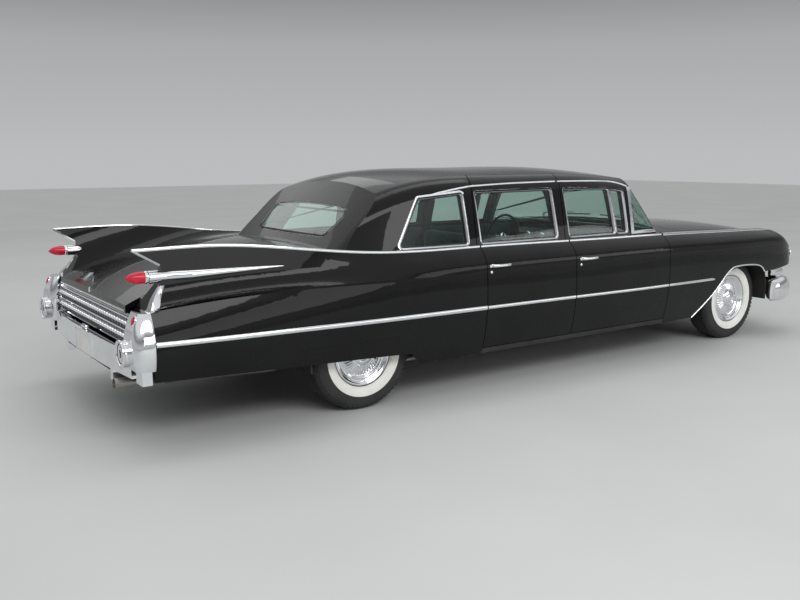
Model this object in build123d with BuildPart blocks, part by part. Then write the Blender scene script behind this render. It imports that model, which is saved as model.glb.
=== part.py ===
from build123d import *
from collections import namedtuple
import math
import os

# A long-wheelbase limousine of the tail-fin years, in millimetres.
# +X is forwards, +Y is the car's left and +Z is up. The origin is on the floor, midway along
# the car and between its sides. Everything that has a twin is made on the left and mirrored.

# Overall sizes and the running gear's places.
LENGTH = 6218.0
FRONT = LENGTH / 2
REAR = -LENGTH / 2
FRONT_AXLE_X = 2220.0
WHEELBASE = 3804.0
REAR_AXLE_X = FRONT_AXLE_X - WHEELBASE
HALF_TRACK = 774.5
TYRE_R = 355.0
TYRE_WIDTH = 208.0
RIM_R = 196.0
AXLE_Z = TYRE_R
KINGPIN_Y = 700.0

# Clearances: round what moves, at seams between fixed panels, and at seats and bearings.
GAP = 6.0
SEAM = 0.8
FIT = 0.3

# Panel thicknesses.
SKIN = 14.0
DOOR_WALL = 95.0
TOP_WALL = 30.0
ROOF_WALL = 48.0
JAMB = 20.0
SHEET = 12.0
FIN_TOP = 14.0
GLASS = 6.0
GLASS_INSET = 12.0

# Heights of the sill, the floor and the lines that part the panels.
SILL_Z = 265.0
DOOR_BOTTOM_Z = 305.0
FLOOR_Z = 285.0
BELT_Z = 985.0
POST_SILL_Z = 985.0
ROOF_TOP_Z = 1560.0

# Where the doors, hood and lid part from the body, along X, and how far out the doors hinge.
FRONT_DOOR_X = 1200.0
MID_DOOR_X = 150.0
REAR_DOOR_X = -690.0
HINGE_Y = 1018.5
EDGE_EASE = 60.0
DOOR_TOP_Y = 645.0
HOOD_REAR_X = 1600.0
HOOD_FRONT_X = 2930.0
HOOD_HALF_REAR = 745.0
HOOD_HALF_FRONT = 700.0
NOSE_HALF = 560.0
FIREWALL_X = 1500.0
REAR_FLOOR_Z = 572.0
RISER_X = -1330.0
WHEELHOUSE_R = 412.0
WHEELHOUSE_Y = 640.0
TRUNK_FLOOR_Z = 482.0
HUMP_HALF = 190.0
HUMP_Z = 512.0
LID_FRONT_X = -1790.0
LID_HALF = 697.0
LID_END_X = -3012.0
LID_LIP_Z = 745.0
OUTRIGGER_X = (1140.0, 430.0, -430.0, -640.0)
HINGE_LEAF_Z = (420.0, 720.0)
HINGE_LEAF = 80.0

# One row for each cross-section of the lower body, left half, from the nose to the tail.
# zc is the crown on the centre line, (yd, zd) the hood's or deck's edge, (yt, zt) the top of
# the wing or fin, (y1, z1) the foot of that wall, (ys, zs) the shoulder crease, groove how far
# the side steps in below the crease, (ym, zm) the widest point and yb the half width at the sill.
BodyRow = namedtuple("BodyRow", "x zc yd zd yt zt y1 z1 ys zs groove ym zm yb")
BODY = [
    BodyRow(3040, 770, 700, 752, 812, 775, 852, 768, 895, 742, 1, 905, 600, 880),
    BodyRow(2950, 872, 712, 842, 838, 868, 890, 850, 938, 790, 1, 955, 610, 910),
    BodyRow(2700, 958, 730, 918, 870, 938, 930, 905, 975, 818, 1, 988, 630, 932),
    BodyRow(2200, 1002, 750, 950, 890, 958, 956, 916, 998, 823, 1, 1006, 640, 948),
    BodyRow(1450, 1020, 775, 970, 902, 974, 972, 922, 1006, 825, 1, 1012, 650, 955),
    BodyRow(500, 1020, 790, 982, 912, 982, 981, 925, 1011, 825, 1, 1018, 655, 958),
    BodyRow(-700, 1030, 790, 990, 912, 994, 980, 930, 1011, 828, 1, 1018, 650, 958),
    BodyRow(-1500, 1042, 790, 998, 904, 1006, 950, 935, 1008, 836, 2, 1018, 640, 956),
    BodyRow(-2000, 1012, 765, 985, 886, 1056, 908, 942, 996, 842, 6, 1016, 625, 950),
    BodyRow(-2500, 960, 745, 930, 862, 1106, 884, 930, 978, 830, 14, 1008, 615, 940),
    BodyRow(-2860, 872, 730, 848, 848, 1107, 870, 908, 958, 802, 18, 996, 605, 930),
    BodyRow(-3020, 800, 722, 782, 841, 1105, 862, 895, 946, 786, 18, 986, 600, 922),
]

# One row for each cross-section of the roof and cabin sides: the crown height, the half width
# at the cant rail and at the cabin's foot, and the slope of the roof at its edge, in degrees.
RoofRow = namedtuple("RoofRow", "x crown rail foot slope")
ROOF = [
    RoofRow(1560, 1330, 770, 892, 6),
    RoofRow(1050, 1446, 780, 898, 7),
    RoofRow(700, 1487, 792, 902, 8),
    RoofRow(0, 1506, 798, 904, 8),
    RoofRow(-700, 1502, 796, 902, 8),
    RoofRow(-1100, 1470, 782, 898, 9),
    RoofRow(-1400, 1385, 752, 892, 10),
    RoofRow(-1780, 1230, 720, 882, 10),
]
RAIL_RUN = 130.0
SIDE_LEAN = 13.0
CABIN_FOOT_Z = 880.0

# Where the roof parts from its posts and rear slope, as seen from the side.
ROOF_SEAM = [(-1900, 1352), (-1017, 1352), (-742, 1376), (-560, 1400), (800, 1400), (900, 1352),
             (1400, 1352)]

# Windscreen and rear slope: plan outline at belt height and how far they rake per mm of height.
SCREEN_X = 1500.0
SCREEN_CORNER = (1285.0, 770.0)
SCREEN_RAKE = -0.873
SLOPE_X = -1752.0
SLOPE_CORNER = (-1712.0, 700.0)
SLOPE_SIDE_X = -1330.0
SLOPE_RAKE = 1.03

# Side windows, as seen from the side: (x, z) of their corners.
WINDOW_Z = 1003.0
POST_FOOT_X = 884.0
POST_HEAD_X = 930.0
POST_HEAD_Z = 1400.0
POST_WIDTH = 34.0
FRONT_WINDOW = [(208, WINDOW_Z), (706, WINDOW_Z), (706, 1341), (208, 1352)]
VENT_WINDOW = [(726, WINDOW_Z), (846, WINDOW_Z), (874, 1322), (726, 1340)]
REAR_WINDOW = [(-634, WINDOW_Z), (84, WINDOW_Z), (84, 1353), (-634, 1348)]
QUARTER_WINDOW = [(-1300, WINDOW_Z), (-742, WINDOW_Z), (-742, 1343), (-1096, 1314)]
WINDOW_R = 18.0

# Wheel openings and the body's lower edge, as seen from the side.
FRONT_ARCH = [(1576, 263), (1792, 440), (1984, 622), (2139, 660), (2421, 644), (2521, 582)]
NOSE_EDGE = [(2700, 590), (2953, 615), (3034, 700), (3040, 730)]
REAR_EDGE = [(-1206, 263), (-1284, 340), (-1388, 349), (-1913, 368), (-2940, 405)]
TAIL_EDGE = [(-2962, 500), (-2958, 780), (-2872, 907), (-2862, 960), (-2859, 1014), (-3009, 1104)]
SKIRT = [(-2063, 330), (-1400, 330), (-1400, 468), (-2063, 478)]

# Lamps, in the side view and across.
SPEAR_Y = 832.0
SPEAR_Z = 951.0
SPEAR_X = -2930.0
SPEAR_TIP_X = -2140.0
LAMP_TIP_X = -3050.0
HEADLAMP_R = 80.0
HEADLAMP_Z = 702.0
HEADLAMP_Y = (640.0, 822.0)
LENS_RISE = 12.0

# Front structure: hinge pillars, inner fenders, radiator and the tabs at the lid's hinges.
HINGE_PILLAR_X = (1230.0, 1300.0)
HINGE_PILLAR_Y = (800.0, 905.0)
INNER_FENDER_Y = 430.0
INNER_FENDER_Z = (480.0, 800.0)
RADIATOR_X = (2780.0, 2880.0)
RADIATOR_HALF = 325.0
FLOOR_HALF = 862.0
TUNNEL_HALF = 122.0
TUNNEL_Z = 422.0

# Bumpers: the foot of each bar, its height, and the rear pods' middle.
BAR_HEIGHT = 150.0
FRONT_BAR_Z = 322.0
REAR_BAR_Z = 400.0
BLADE_Z = 530.0
BLADE_HEIGHT = 42.0
POD_Y = 905.0
POD_LAMP = (860.0, 560.0)
POD_LAMP_R = 74.0

# Studs of the front and rear grilles, with the bars above and below each row.
STUD_R = 16.0
STUD_COLLAR = 8.0
STUD_PITCH = 49.0
TAIL_BAR_Z = (564.0, 642.0, 720.0)
TAIL_STUD_Z = (607.0, 685.0)
GRILLE_BAR_Z = (590.0, 655.0, 720.0)
GRILLE_STUD_Z = (626.5, 691.5)

# Frame rails: one side's outline from above, where the number is how far out, and both rails'
# outline from the side.
RAIL_PLAN = [(2950, 405), (1650, 405), (650, 135), (-450, 135), (-1100, 520), (-2950, 520),
             (-2950, 450), (-1140, 450), (-500, 60), (680, 60), (1670, 335), (2950, 335)]
RAIL_SIDE = [(2960, 330), (1700, 270), (1500, 255), (-1340, 255), (-1480, 500), (-1850, 500),
             (-2050, 400), (-2960, 400), (-2960, 310), (-2080, 310), (-1880, 420),
             (-1500, 420), (-1360, 160), (1500, 160), (1700, 180), (2960, 240)]

# Running gear: bores, drums, the axle tube, and the pipe's path with its radii.
STUB_R = 28.0
DRUM_R = 118.0
AXLE_TUBE_R = 42.0
PROPSHAFT_R = 40.0
GEARBOX_X = 1010.0
PIPE_R = 25.0
MUFFLER_R = 52.0
MUFFLER_Z = 168.0
PIPE_RUN = [(1480, -190, 237), (1330, -220, 126), (620, -330, 126), (520, -330, MUFFLER_Z),
            (-520, -330, MUFFLER_Z), (-640, -330, 126), (-1300, -340, 126), (-1460, -380, 262),
            (-1900, -400, 262), (-2060, -580, 285), (-3040, -580, 330)]

# Seats as seen from the side, their half widths, and the steering column.
SEAT_BASE_Z = 425.0
FRONT_SEAT_HALF = 720.0
FRONT_SEAT = [(640, 420), (700, 470), (690, 600), (640, 625), (300, 590), (225, 610), (105, 985),
              (20, 985), (-10, 940), (90, 420)]
REAR_SEAT_HALF = 625.0
REAR_SEAT = [(-760, 420), (-700, 470), (-710, 590), (-770, 612), (-1130, 570), (-1210, 600),
             (-1380, 985), (-1480, 985), (-1499, 940), (-1499, REAR_FLOOR_Z + FIT),
             (-1329, REAR_FLOOR_Z + FIT), (-1329, 420)]
ARMREST_Y = 800.0
FRONT_ARMREST = [(300, 640), (700, 640), (740, 700), (300, 690)]
REAR_ARMREST = [(-560, 640), (-190, 640), (-150, 700), (-560, 690)]
COLUMN_FOOT = (1200, 430, 770)
COLUMN_HEAD = (735, 430, 872)
STEERING_R = 203.0
DASH_HALF = 700.0

BODY_SIDE = 1150.0


def crown_mid(rise, half):
    """Middle point of an arc that is level on the centre line and drops by rise at half."""
    radius = (half * half + rise * rise) / (2 * rise)
    return half / 2, radius - math.sqrt(radius * radius - half * half / 4)


def bulged(a, b, share):
    """Middle point of an arc from a to b that stands off its chord by a share of its length."""
    (ay, az), (by, bz) = a, b
    return (ay + by) / 2 + (bz - az) * share, (az + bz) / 2 - (by - ay) * share


def lofted(rows, draw):
    """Solid through one closed outline at each row's x."""
    with BuildPart() as solid:
        for row in rows:
            with BuildSketch(Plane.YZ.offset(row.x)):
                with BuildLine():
                    draw(row)
                make_face()
        loft()
    return solid.part


def side_prism(points, near=-BODY_SIDE, far=BODY_SIDE, corner=0.0):
    """Prism of an outline seen from the side, from y = near to y = far."""
    with BuildPart() as prism:
        with BuildSketch(Plane.XZ.offset(-far)) as outline:
            with BuildLine():
                Polyline(*points, close=True)
            make_face()
            if corner:
                fillet(outline.vertices(), corner)
        extrude(amount=far - near)
    return prism.part


def plan_prism(points, low=0.0, high=ROOF_TOP_Z):
    """Prism of an outline seen from above, from z = low to z = high."""
    with BuildPart() as prism:
        with BuildSketch(Plane.XY.offset(low)):
            with BuildLine():
                Polyline(*points, close=True)
            make_face()
        extrude(amount=high - low)
    return prism.part


def slab(x, y, z, mode=Mode.ADD):
    """Box between two values each of x, y and z."""
    with Locations(((x[0] + x[1]) / 2, (y[0] + y[1]) / 2, (z[0] + z[1]) / 2)):
        Box(x[1] - x[0], y[1] - y[0], z[1] - z[0], mode=mode)


def rod(start, end, radius, mode=Mode.ADD):
    """Round bar from one point to another."""
    axis = Vector(*end) - Vector(*start)
    with BuildSketch(Plane(origin=start, z_dir=axis)) as disc:
        Circle(radius)
    extrude(disc.sketch, amount=axis.length, mode=mode)


def common(*solids):
    """What all the solids share."""
    with BuildPart() as shared:
        add(solids[0])
        for solid in solids[1:]:
            add(solid, mode=Mode.INTERSECT)
    return shared.part


def less(solid, *cutters):
    """The first solid without the others."""
    with BuildPart() as rest:
        add(solid)
        for cutter in cutters:
            add(cutter, mode=Mode.SUBTRACT)
    return rest.part


def joined(*solids):
    """All the solids fused."""
    with BuildPart() as whole:
        for solid in solids:
            add(solid)
    return whole.part


def twin(solid):
    """The same piece on the car's right."""
    return mirror(solid, Plane.XZ)


def both_sides(solid):
    """The left piece fused to its twin."""
    return joined(solid, twin(solid))


def draw_body(row):
    """Outer outline of the left half of the lower body."""
    top = (row.yt, row.zt)
    inner_top = (row.yt - FIN_TOP, row.zt)
    edge = (row.yd, row.zd)
    foot = (row.y1, row.z1)
    shoulder = (row.ys, row.zs)
    below = (row.ys - row.groove, row.zs - 14)
    my, mz = crown_mid(row.zc - row.zd, row.yd)
    ThreePointArc((0, row.zc), (my, row.zc - mz), edge)
    ThreePointArc(edge, bulged(edge, inner_top, 0.08), inner_top)
    Line(inner_top, top)
    wall = ThreePointArc(top, bulged(top, foot, -0.04 if row.x > -1200 else 0.01), foot)
    TangentArc(foot, shoulder, tangent=wall % 1)
    Line(shoulder, below)
    ThreePointArc(below, (row.ym, row.zm), (row.yb, SILL_Z))
    Line((row.yb, SILL_Z), (0, SILL_Z))
    Line((0, SILL_Z), (0, row.zc))


def draw_inside(wall, top_wall):
    """Outline of the space inside the body, a wall's thickness in from its sides and top."""

    def draw(row):
        edge = (row.yd - 10, row.zd - top_wall)
        foot = (row.y1 - wall - 14, row.z1 - top_wall - 12)
        shoulder = (row.ys - wall - 4 - row.groove, row.zs - 26)
        sill = (row.yb - wall, SILL_Z - 1)
        my, mz = crown_mid(row.zc - row.zd, row.yd)
        ThreePointArc((0, row.zc - top_wall), (my, row.zc - mz - top_wall), edge)
        Line(edge, foot)
        Line(foot, shoulder)
        ThreePointArc(shoulder, (row.ym - wall, row.zm), sill)
        Line(sill, (0, SILL_Z - 1))
        Line((0, SILL_Z - 1), (0, row.zc - top_wall))

    return draw


def draw_roof(inset):
    """Outline of the left half of the cabin, drawn in by inset."""

    def draw(row):
        crown, rail = row.crown - inset, row.rail - inset
        knee = rail - RAIL_RUN
        knee_z = crown - knee * math.tan(math.radians(row.slope / 2))
        chord = math.radians((90 + SIDE_LEAN + 180 - row.slope) / 2)
        rail_z = knee_z - RAIL_RUN * abs(math.tan(chord))
        foot = (row.foot - inset, CABIN_FOOT_Z)
        start = (math.sin(math.radians(-SIDE_LEAN)), math.cos(math.radians(SIDE_LEAN)))
        my, mz = crown_mid(crown - knee_z, knee)
        ThreePointArc(foot, bulged(foot, (rail, rail_z), 0.012), (rail, rail_z))
        TangentArc((rail, rail_z), (knee, knee_z), tangent=start)
        ThreePointArc((knee, knee_z), (my, crown - mz), (0, crown))
        Line((0, crown), (0, CABIN_FOOT_Z))
        Line((0, CABIN_FOOT_Z), foot)

    return draw


def raked(outline, rake, back_x):
    """Slanting prism: a plan outline at belt height, carried up and down along its rake."""
    height = 720.0
    low = CABIN_FOOT_Z - 20
    shift = rake * (low - BELT_Z)
    with BuildPart() as prism:
        with BuildSketch(Plane.XY.offset(low)):
            with BuildLine():
                outline(shift, back_x + shift)
            make_face()
        extrude(amount=height * math.hypot(1, rake), dir=(rake, 0, 1))
    return prism.part


def screen_outline(inset):
    def draw(shift, back_x):
        nose = (SCREEN_X - inset + shift, 0)
        corner = (SCREEN_CORNER[0] - inset + shift, SCREEN_CORNER[1] - inset)
        side = (corner[0] - 330, 915)
        bow = ((nose[0] + corner[0]) / 2 + 62, corner[1] / 2)
        front = ThreePointArc(nose, bow, corner)
        TangentArc(corner, side, tangent=front % 1)
        Line(side, (back_x, 915))
        Line((back_x, 915), (back_x, 0))
        Line((back_x, 0), nose)

    return draw


def slope_outline(inset):
    def draw(shift, back_x):
        tail = (SLOPE_X + inset + shift, 0)
        corner = (SLOPE_CORNER[0] + inset + shift, SLOPE_CORNER[1] - inset)
        side = (SLOPE_SIDE_X + inset + shift, 925)
        bow = ((tail[0] + corner[0]) / 2 - 10, corner[1] / 2)
        rear = ThreePointArc(tail, bow, corner)
        TangentArc(corner, side, tangent=rear % 1)
        Line(side, (back_x, 925))
        Line((back_x, 925), (back_x, 0))
        Line((back_x, 0), tail)

    return draw


def cabin(inset):
    """Left half of the cabin, cut to the windscreen's and rear panel's rake."""
    whole = lofted(ROOF, draw_roof(inset))
    front = raked(screen_outline(inset), SCREEN_RAKE, -2600)
    rear = raked(slope_outline(inset), SLOPE_RAKE, 2600)
    return common(whole, front, rear)


# The doors. Each has its hinge line at its front edge, out at the widest point of the side,
# and its rear edge is an arc struck from just behind that line, so that it swings clear.
Door = namedtuple("Door", "hinge_x rear_x")
FRONT_DOOR = Door(FRONT_DOOR_X - GAP / 2, MID_DOOR_X + GAP / 2)
REAR_DOOR = Door(MID_DOOR_X - GAP / 2, REAR_DOOR_X + GAP / 2)
DOOR_DEPTH = HINGE_Y - DOOR_TOP_Y + 60


def edge_arc(door, by):
    """Rear edge of a door in plan, moved back by a clearance, from outside to inside."""
    centre_x = door.hinge_x - EDGE_EASE
    radius = centre_x - door.rear_x + by
    turn = math.degrees(math.asin(DOOR_DEPTH / radius))
    return CenterArc((centre_x, HINGE_Y), radius, 180, turn)


def door_space(door, by, ahead=None):
    """The space a door fills, grown by a clearance. ahead is the door in front of it."""
    out = BODY_SIDE
    with BuildPart() as space:
        with BuildSketch(Plane.XY.offset(DOOR_BOTTOM_Z - by)):
            with BuildLine():
                rear = edge_arc(door, by)
                if ahead:
                    front = edge_arc(ahead, GAP - by)
                    front_out, front_in = front @ 0, front @ 1
                else:
                    front_out = Vector(door.hinge_x + by, HINGE_Y)
                    front_in = Vector(door.hinge_x + by, DOOR_TOP_Y - 60)
                    Line(front_out, front_in)
                Line(rear @ 0, (door.rear_x - by, out))
                Line((door.rear_x - by, out), (front_out.X, out))
                Line((front_out.X, out), front_out)
                Line(rear @ 1, front_in)
            make_face()
        extrude(amount=ROOF_TOP_Z - DOOR_BOTTOM_Z)
        with BuildSketch(Plane.XY.offset(DOOR_BOTTOM_Z - by - 5)):
            with BuildLine():
                Polyline((-1500, DOOR_TOP_Y - by), (200, DOOR_TOP_Y - by), (1300, 725 - by),
                         (1300, out + 10), (-1500, out + 10), close=True)
            make_face()
        extrude(amount=ROOF_TOP_Z, mode=Mode.INTERSECT)
        if not ahead:
            with BuildSketch(Plane.XZ.offset(-BODY_SIDE)):
                with BuildLine():
                    Polyline((POST_FOOT_X + by, POST_SILL_Z + by),
                             (POST_HEAD_X + by, POST_HEAD_Z),
                             (POST_HEAD_X + 60 + by, ROOF_TOP_Z + 200),
                             (door.hinge_x + 100, ROOF_TOP_Z + 200),
                             (door.hinge_x + 100, POST_SILL_Z + by), close=True)
                make_face()
            extrude(amount=BODY_SIDE, mode=Mode.SUBTRACT)
    return space.part


def window_space(points, clear=0.0):
    """Prism of a side window's opening on the left, drawn in by a clearance."""
    with BuildPart() as prism:
        with BuildSketch(Plane.XZ.offset(-BODY_SIDE)) as outline:
            with BuildLine():
                Polyline(*points, close=True)
            make_face()
            fillet(outline.vertices(), WINDOW_R)
            if clear:
                offset(amount=-clear, mode=Mode.REPLACE)
        extrude(amount=BODY_SIDE - 500)
    return prism.part


def screen_space(clear=0.0):
    """The windscreen's opening: a front-view outline, bounded behind by the post."""
    with BuildPart() as space:
        with BuildSketch(Plane.YZ.offset(700)):
            with BuildLine():
                Line((0, 1034 + clear), (0, 1398 - clear))
                ThreePointArc((0, 1398 - clear), (430, 1386 - clear), (830, 1322 - clear))
                Line((830, 1322 - clear), (1000, 1270 - clear))
                Line((1000, 1270 - clear), (1000, 1003 + clear))
                Line((1000, 1003 + clear), (790, 1003 + clear))
                ThreePointArc((790, 1003 + clear), (400, 1026 + clear), (0, 1034 + clear))
            make_face()
        extrude(amount=1000)
        with BuildSketch(Plane.XZ.offset(-BODY_SIDE)):
            with BuildLine():
                Polyline((POST_FOOT_X + GAP + POST_WIDTH + clear, POST_SILL_Z),
                         (POST_HEAD_X + GAP + POST_WIDTH + clear, POST_HEAD_Z),
                         (2000, POST_HEAD_Z + 100), (2000, 900),
                         (POST_FOOT_X + GAP + POST_WIDTH + clear, 900), close=True)
            make_face()
        extrude(amount=BODY_SIDE + 10, mode=Mode.INTERSECT)
    return space.part


def rear_window_space(clear=0.0):
    """The rear window's opening: a rounded front-view outline carried back."""
    with BuildPart() as space:
        with BuildSketch(Plane.YZ.offset(-2000)) as outline:
            with BuildLine():
                Line((-482, 1070), (482, 1070))
                Line((482, 1070), (538, 1246))
                ThreePointArc((538, 1246), (0, 1276), (-538, 1246))
                Line((-538, 1246), (-482, 1070))
            make_face()
            fillet(outline.vertices(), 55)
            if clear:
                offset(amount=-clear, mode=Mode.REPLACE)
        extrude(amount=900)
    return space.part


# The lower body and the cabin, as whole shapes that the panels are cut from.
body_outer = lofted(BODY, draw_body)
body_inner = lofted(BODY, draw_inside(SKIN, TOP_WALL))
door_inner = lofted(BODY[4:8], draw_inside(DOOR_WALL, TOP_WALL))
cabin_outer = cabin(0)
cabin_inner = cabin(ROOF_WALL)

below_front = side_prism([(1500, 200)] + FRONT_ARCH + NOSE_EDGE + [(3100, 730), (3100, 200)])
below_rear = side_prism(REAR_EDGE + [(-2962, 405), (-2962, 200), (-1206, 200)])
behind_tail = side_prism(TAIL_EDGE + [(-3009, 1150), (-3100, 1150), (-3100, 200), (-2962, 200)])
behind_hollow = side_prism([(x + SKIN, z) for x, z in TAIL_EDGE]
                           + [(-3009 + SKIN, 1150), (-3100, 1150), (-3100, 200), (-2948, 200)])

hollow = less(body_inner, behind_hollow)
shell = less(body_outer, hollow, cabin_inner, below_front, below_rear)
thick_shell = less(body_outer, door_inner, cabin_inner)
roof_shell = less(cabin_outer, cabin_inner)

hood_space = plan_prism([(HOOD_REAR_X + GAP, -1), (HOOD_REAR_X + GAP, HOOD_HALF_REAR - GAP),
                         (HOOD_FRONT_X - GAP, HOOD_HALF_FRONT - GAP),
                         (HOOD_FRONT_X - GAP, -1)], 700)
lid_space = plan_prism([(LID_FRONT_X - GAP, -1), (LID_FRONT_X - GAP, LID_HALF - GAP),
                        (-3100, LID_HALF - GAP), (-3100, -1)], 600)

pieces = {}


def keep(name, solid):
    """Name a finished piece."""
    pieces[name] = solid


def keep_pair(name, solid):
    """Name a left piece and its twin."""
    pieces[name + "_l"] = solid
    pieces[name + "_r"] = twin(solid)


# Front fenders: from the front doors to the nose, outside the hood, with a jamb at the door.
fender_box = plan_prism([(FRONT_DOOR_X + GAP / 2, HOOD_HALF_REAR), (HOOD_REAR_X, HOOD_HALF_REAR),
                         (HOOD_FRONT_X, HOOD_HALF_FRONT), (HOOD_FRONT_X, NOSE_HALF), (3100, NOSE_HALF),
                         (3100, BODY_SIDE), (FRONT_DOOR_X + GAP / 2, BODY_SIDE)])
jamb_box = plan_prism([(FRONT_DOOR_X + GAP / 2, 700), (FRONT_DOOR_X + GAP / 2 + JAMB, 700),
                       (FRONT_DOOR_X + GAP / 2 + JAMB, BODY_SIDE),
                       (FRONT_DOOR_X + GAP / 2, BODY_SIDE)])
with BuildPart() as front_fender:
    add(common(shell, fender_box))
    add(common(thick_shell, jamb_box))
    add(less(common(body_outer, side_prism([(3018, 560), (3060, 560), (3060, 900), (3018, 900)]),
                    fender_box), below_front))
    for leaf_z in HINGE_LEAF_Z:
        slab((FRONT_DOOR.hinge_x + FIT, FRONT_DOOR_X + GAP / 2 + 2), (925, 985),
             (leaf_z, leaf_z + HINGE_LEAF))
    for lamp_y in HEADLAMP_Y:
        with BuildSketch(Plane.YZ.offset(2900)):
            with Locations((lamp_y, HEADLAMP_Z)):
                Circle(HEADLAMP_R + FIT)
        extrude(amount=300, mode=Mode.SUBTRACT)
keep_pair("front_fender", front_fender.part.solids().sort_by(SortBy.VOLUME)[-1])

# Hood.
hood = both_sides(common(shell, hood_space))
keep("hood", hood)

# Cowl: the strip behind the hood, with the firewall, hinge pillars, inner fenders and
# radiator support. Two tabs stand behind the hood's rear edge, where it hinges.
COWL_BASE_Z = FLOOR_Z + SHEET + FIT
HOOD_TAB_Z = (968.0, 985.0)
cowl_box = plan_prism([(FRONT_DOOR_X + GAP / 2, -1),
                       (FRONT_DOOR_X + GAP / 2, HOOD_HALF_REAR - SEAM),
                       (HOOD_REAR_X, HOOD_HALF_REAR - SEAM), (HOOD_REAR_X, -1)], 600)
with BuildPart() as cowl:
    add(both_sides(common(shell, cowl_box)))
    slab((FIREWALL_X, FIREWALL_X + SHEET), (2 - FLOOR_HALF, FLOOR_HALF - 2), (COWL_BASE_Z, 900))
    slab((FIREWALL_X, FIREWALL_X + SHEET), (-690, 690), (880, 950))
    for side in (-1, 1):
        slab(HINGE_PILLAR_X, sorted(side * y for y in HINGE_PILLAR_Y), (COWL_BASE_Z, 884))
        slab((HINGE_PILLAR_X[0] - 7, HINGE_PILLAR_X[0] + 5),
             sorted((side * 870, side * HINGE_PILLAR_Y[1])), (COWL_BASE_Z + 40, 860))
        slab((HINGE_PILLAR_X[1] - 10, FIREWALL_X + SHEET),
             sorted((side * (FLOOR_HALF - SHEET), side * FLOOR_HALF)), (COWL_BASE_Z, 860))
        slab((FIREWALL_X + SHEET, RADIATOR_X[1] + 20),
             sorted((side * INNER_FENDER_Y, side * (INNER_FENDER_Y + SHEET))), INNER_FENDER_Z)
        slab((2110, 2330), sorted((side * 420, side * 450)), (470, 540), mode=Mode.SUBTRACT)
        slab((HOOD_REAR_X - 2, HOOD_REAR_X + GAP - FIT), sorted((side * 540, side * 600)),
             HOOD_TAB_Z)
    slab((RADIATOR_X[1], RADIATOR_X[1] + 20), (-540, 540), INNER_FENDER_Z)
    slab(RADIATOR_X, (-RADIATOR_HALF, RADIATOR_HALF), (400, 800))
    slab((FIREWALL_X - 5, FIREWALL_X + 20), (-HUMP_HALF - FIT, HUMP_HALF + FIT),
         (FLOOR_Z, HUMP_Z + FIT), mode=Mode.SUBTRACT)
keep("cowl", cowl.part)

# Nose panel between the fenders, ahead of the hood.
nose_box = plan_prism([(HOOD_FRONT_X, -1), (HOOD_FRONT_X, NOSE_HALF - SEAM),
                       (3100, NOSE_HALF - SEAM), (3100, -1)], 560)
keep("nose_panel", both_sides(common(shell, nose_box)))

# Roof, less doors and windows. It parts along the drip line from the rear slope, which
# frames the rear window, and from the windscreen's posts.
roof_half = less(
    roof_shell,
    body_outer,
    door_space(FRONT_DOOR, GAP),
    door_space(REAR_DOOR, GAP, FRONT_DOOR),
    window_space(QUARTER_WINDOW),
    screen_space(),
    rear_window_space(),
)
roof_above = side_prism(ROOF_SEAM + [(1400, ROOF_TOP_Z), (-1900, ROOF_TOP_Z)])
seam_below = side_prism([(x, z - FIT) for x, z in ROOF_SEAM]
                        + [(1400, ROOF_TOP_Z), (-1900, ROOF_TOP_Z)])
rear_half = plan_prism([(-1900, -1), (-400, -1), (-400, BODY_SIDE), (-1900, BODY_SIDE)], 800)
roof_lower = less(roof_half, seam_below)
keep("roof", both_sides(common(roof_half, roof_above)))
keep("rear_slope", both_sides(common(roof_lower, rear_half)))
keep("windshield_posts", both_sides(less(roof_lower, rear_half)))

# Doors: lower slab and upper frame in one, with the windows cut, then their glass.
door_stock = joined(less(thick_shell, cabin_inner), roof_shell)
glass_sheet = less(cabin(GLASS_INSET), cabin(GLASS_INSET + GLASS))
for name, door, ahead, windows, armrest in (
    ("front", FRONT_DOOR, None, (FRONT_WINDOW, VENT_WINDOW), FRONT_ARMREST),
    ("rear", REAR_DOOR, FRONT_DOOR, (REAR_WINDOW,), REAR_ARMREST),
):
    panel = common(door_stock, door_space(door, 0, ahead))
    panel = joined(panel, side_prism(armrest, ARMREST_Y, 935, 20))
    panes = []
    for window in windows:
        panel = less(panel, window_space(window))
        panes.append(common(glass_sheet, window_space(window, FIT)))
    keep_pair(name + "_door", panel)
    keep_pair(name + "_door_glass", joined(*panes))

# Fixed glass.
screen_sheet = less(cabin(4), cabin(4 + GLASS))
keep("windshield", both_sides(common(screen_sheet, screen_space(FIT))))
keep("rear_window", both_sides(common(screen_sheet, rear_window_space(FIT))))
keep("quarter_glass", both_sides(common(glass_sheet, window_space(QUARTER_WINDOW, FIT))))

# Quarter panels with their fins, a jamb at the door, and the wheel skirt as a panel of its own.
quarter_box = plan_prism([(REAR_DOOR_X - GAP / 2, LID_HALF), (LID_FRONT_X, LID_HALF),
                          (-3100, LID_HALF), (-3100, BODY_SIDE),
                          (REAR_DOOR_X - GAP / 2, BODY_SIDE)])
rear_jamb = plan_prism([(REAR_DOOR_X + 60, 700), (REAR_DOOR_X - GAP - JAMB, 700),
                        (REAR_DOOR_X - GAP - JAMB, BODY_SIDE), (REAR_DOOR_X + 60, BODY_SIDE)])
quarter = less(
    joined(common(shell, quarter_box), less(common(thick_shell, rear_jamb), below_rear)),
    door_space(REAR_DOOR, GAP, FRONT_DOOR),
    behind_tail,
    side_prism(SKIRT),
    plan_prism([(REAR_DOOR_X - GAP / 2, 500), (REAR_DOOR_X + 100, 500),
                (REAR_DOOR_X + 100, BODY_SIDE), (REAR_DOOR_X - GAP / 2, BODY_SIDE)], 200,
               DOOR_BOTTOM_Z),
)
keep_pair("quarter_panel", quarter)
skirt_points = [(x + (SEAM if x < -1500 else -SEAM), z - (SEAM if z > 400 else 0))
                for x, z in SKIRT]
keep_pair("fender_skirt", common(shell, quarter_box, side_prism(skirt_points)))

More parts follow.
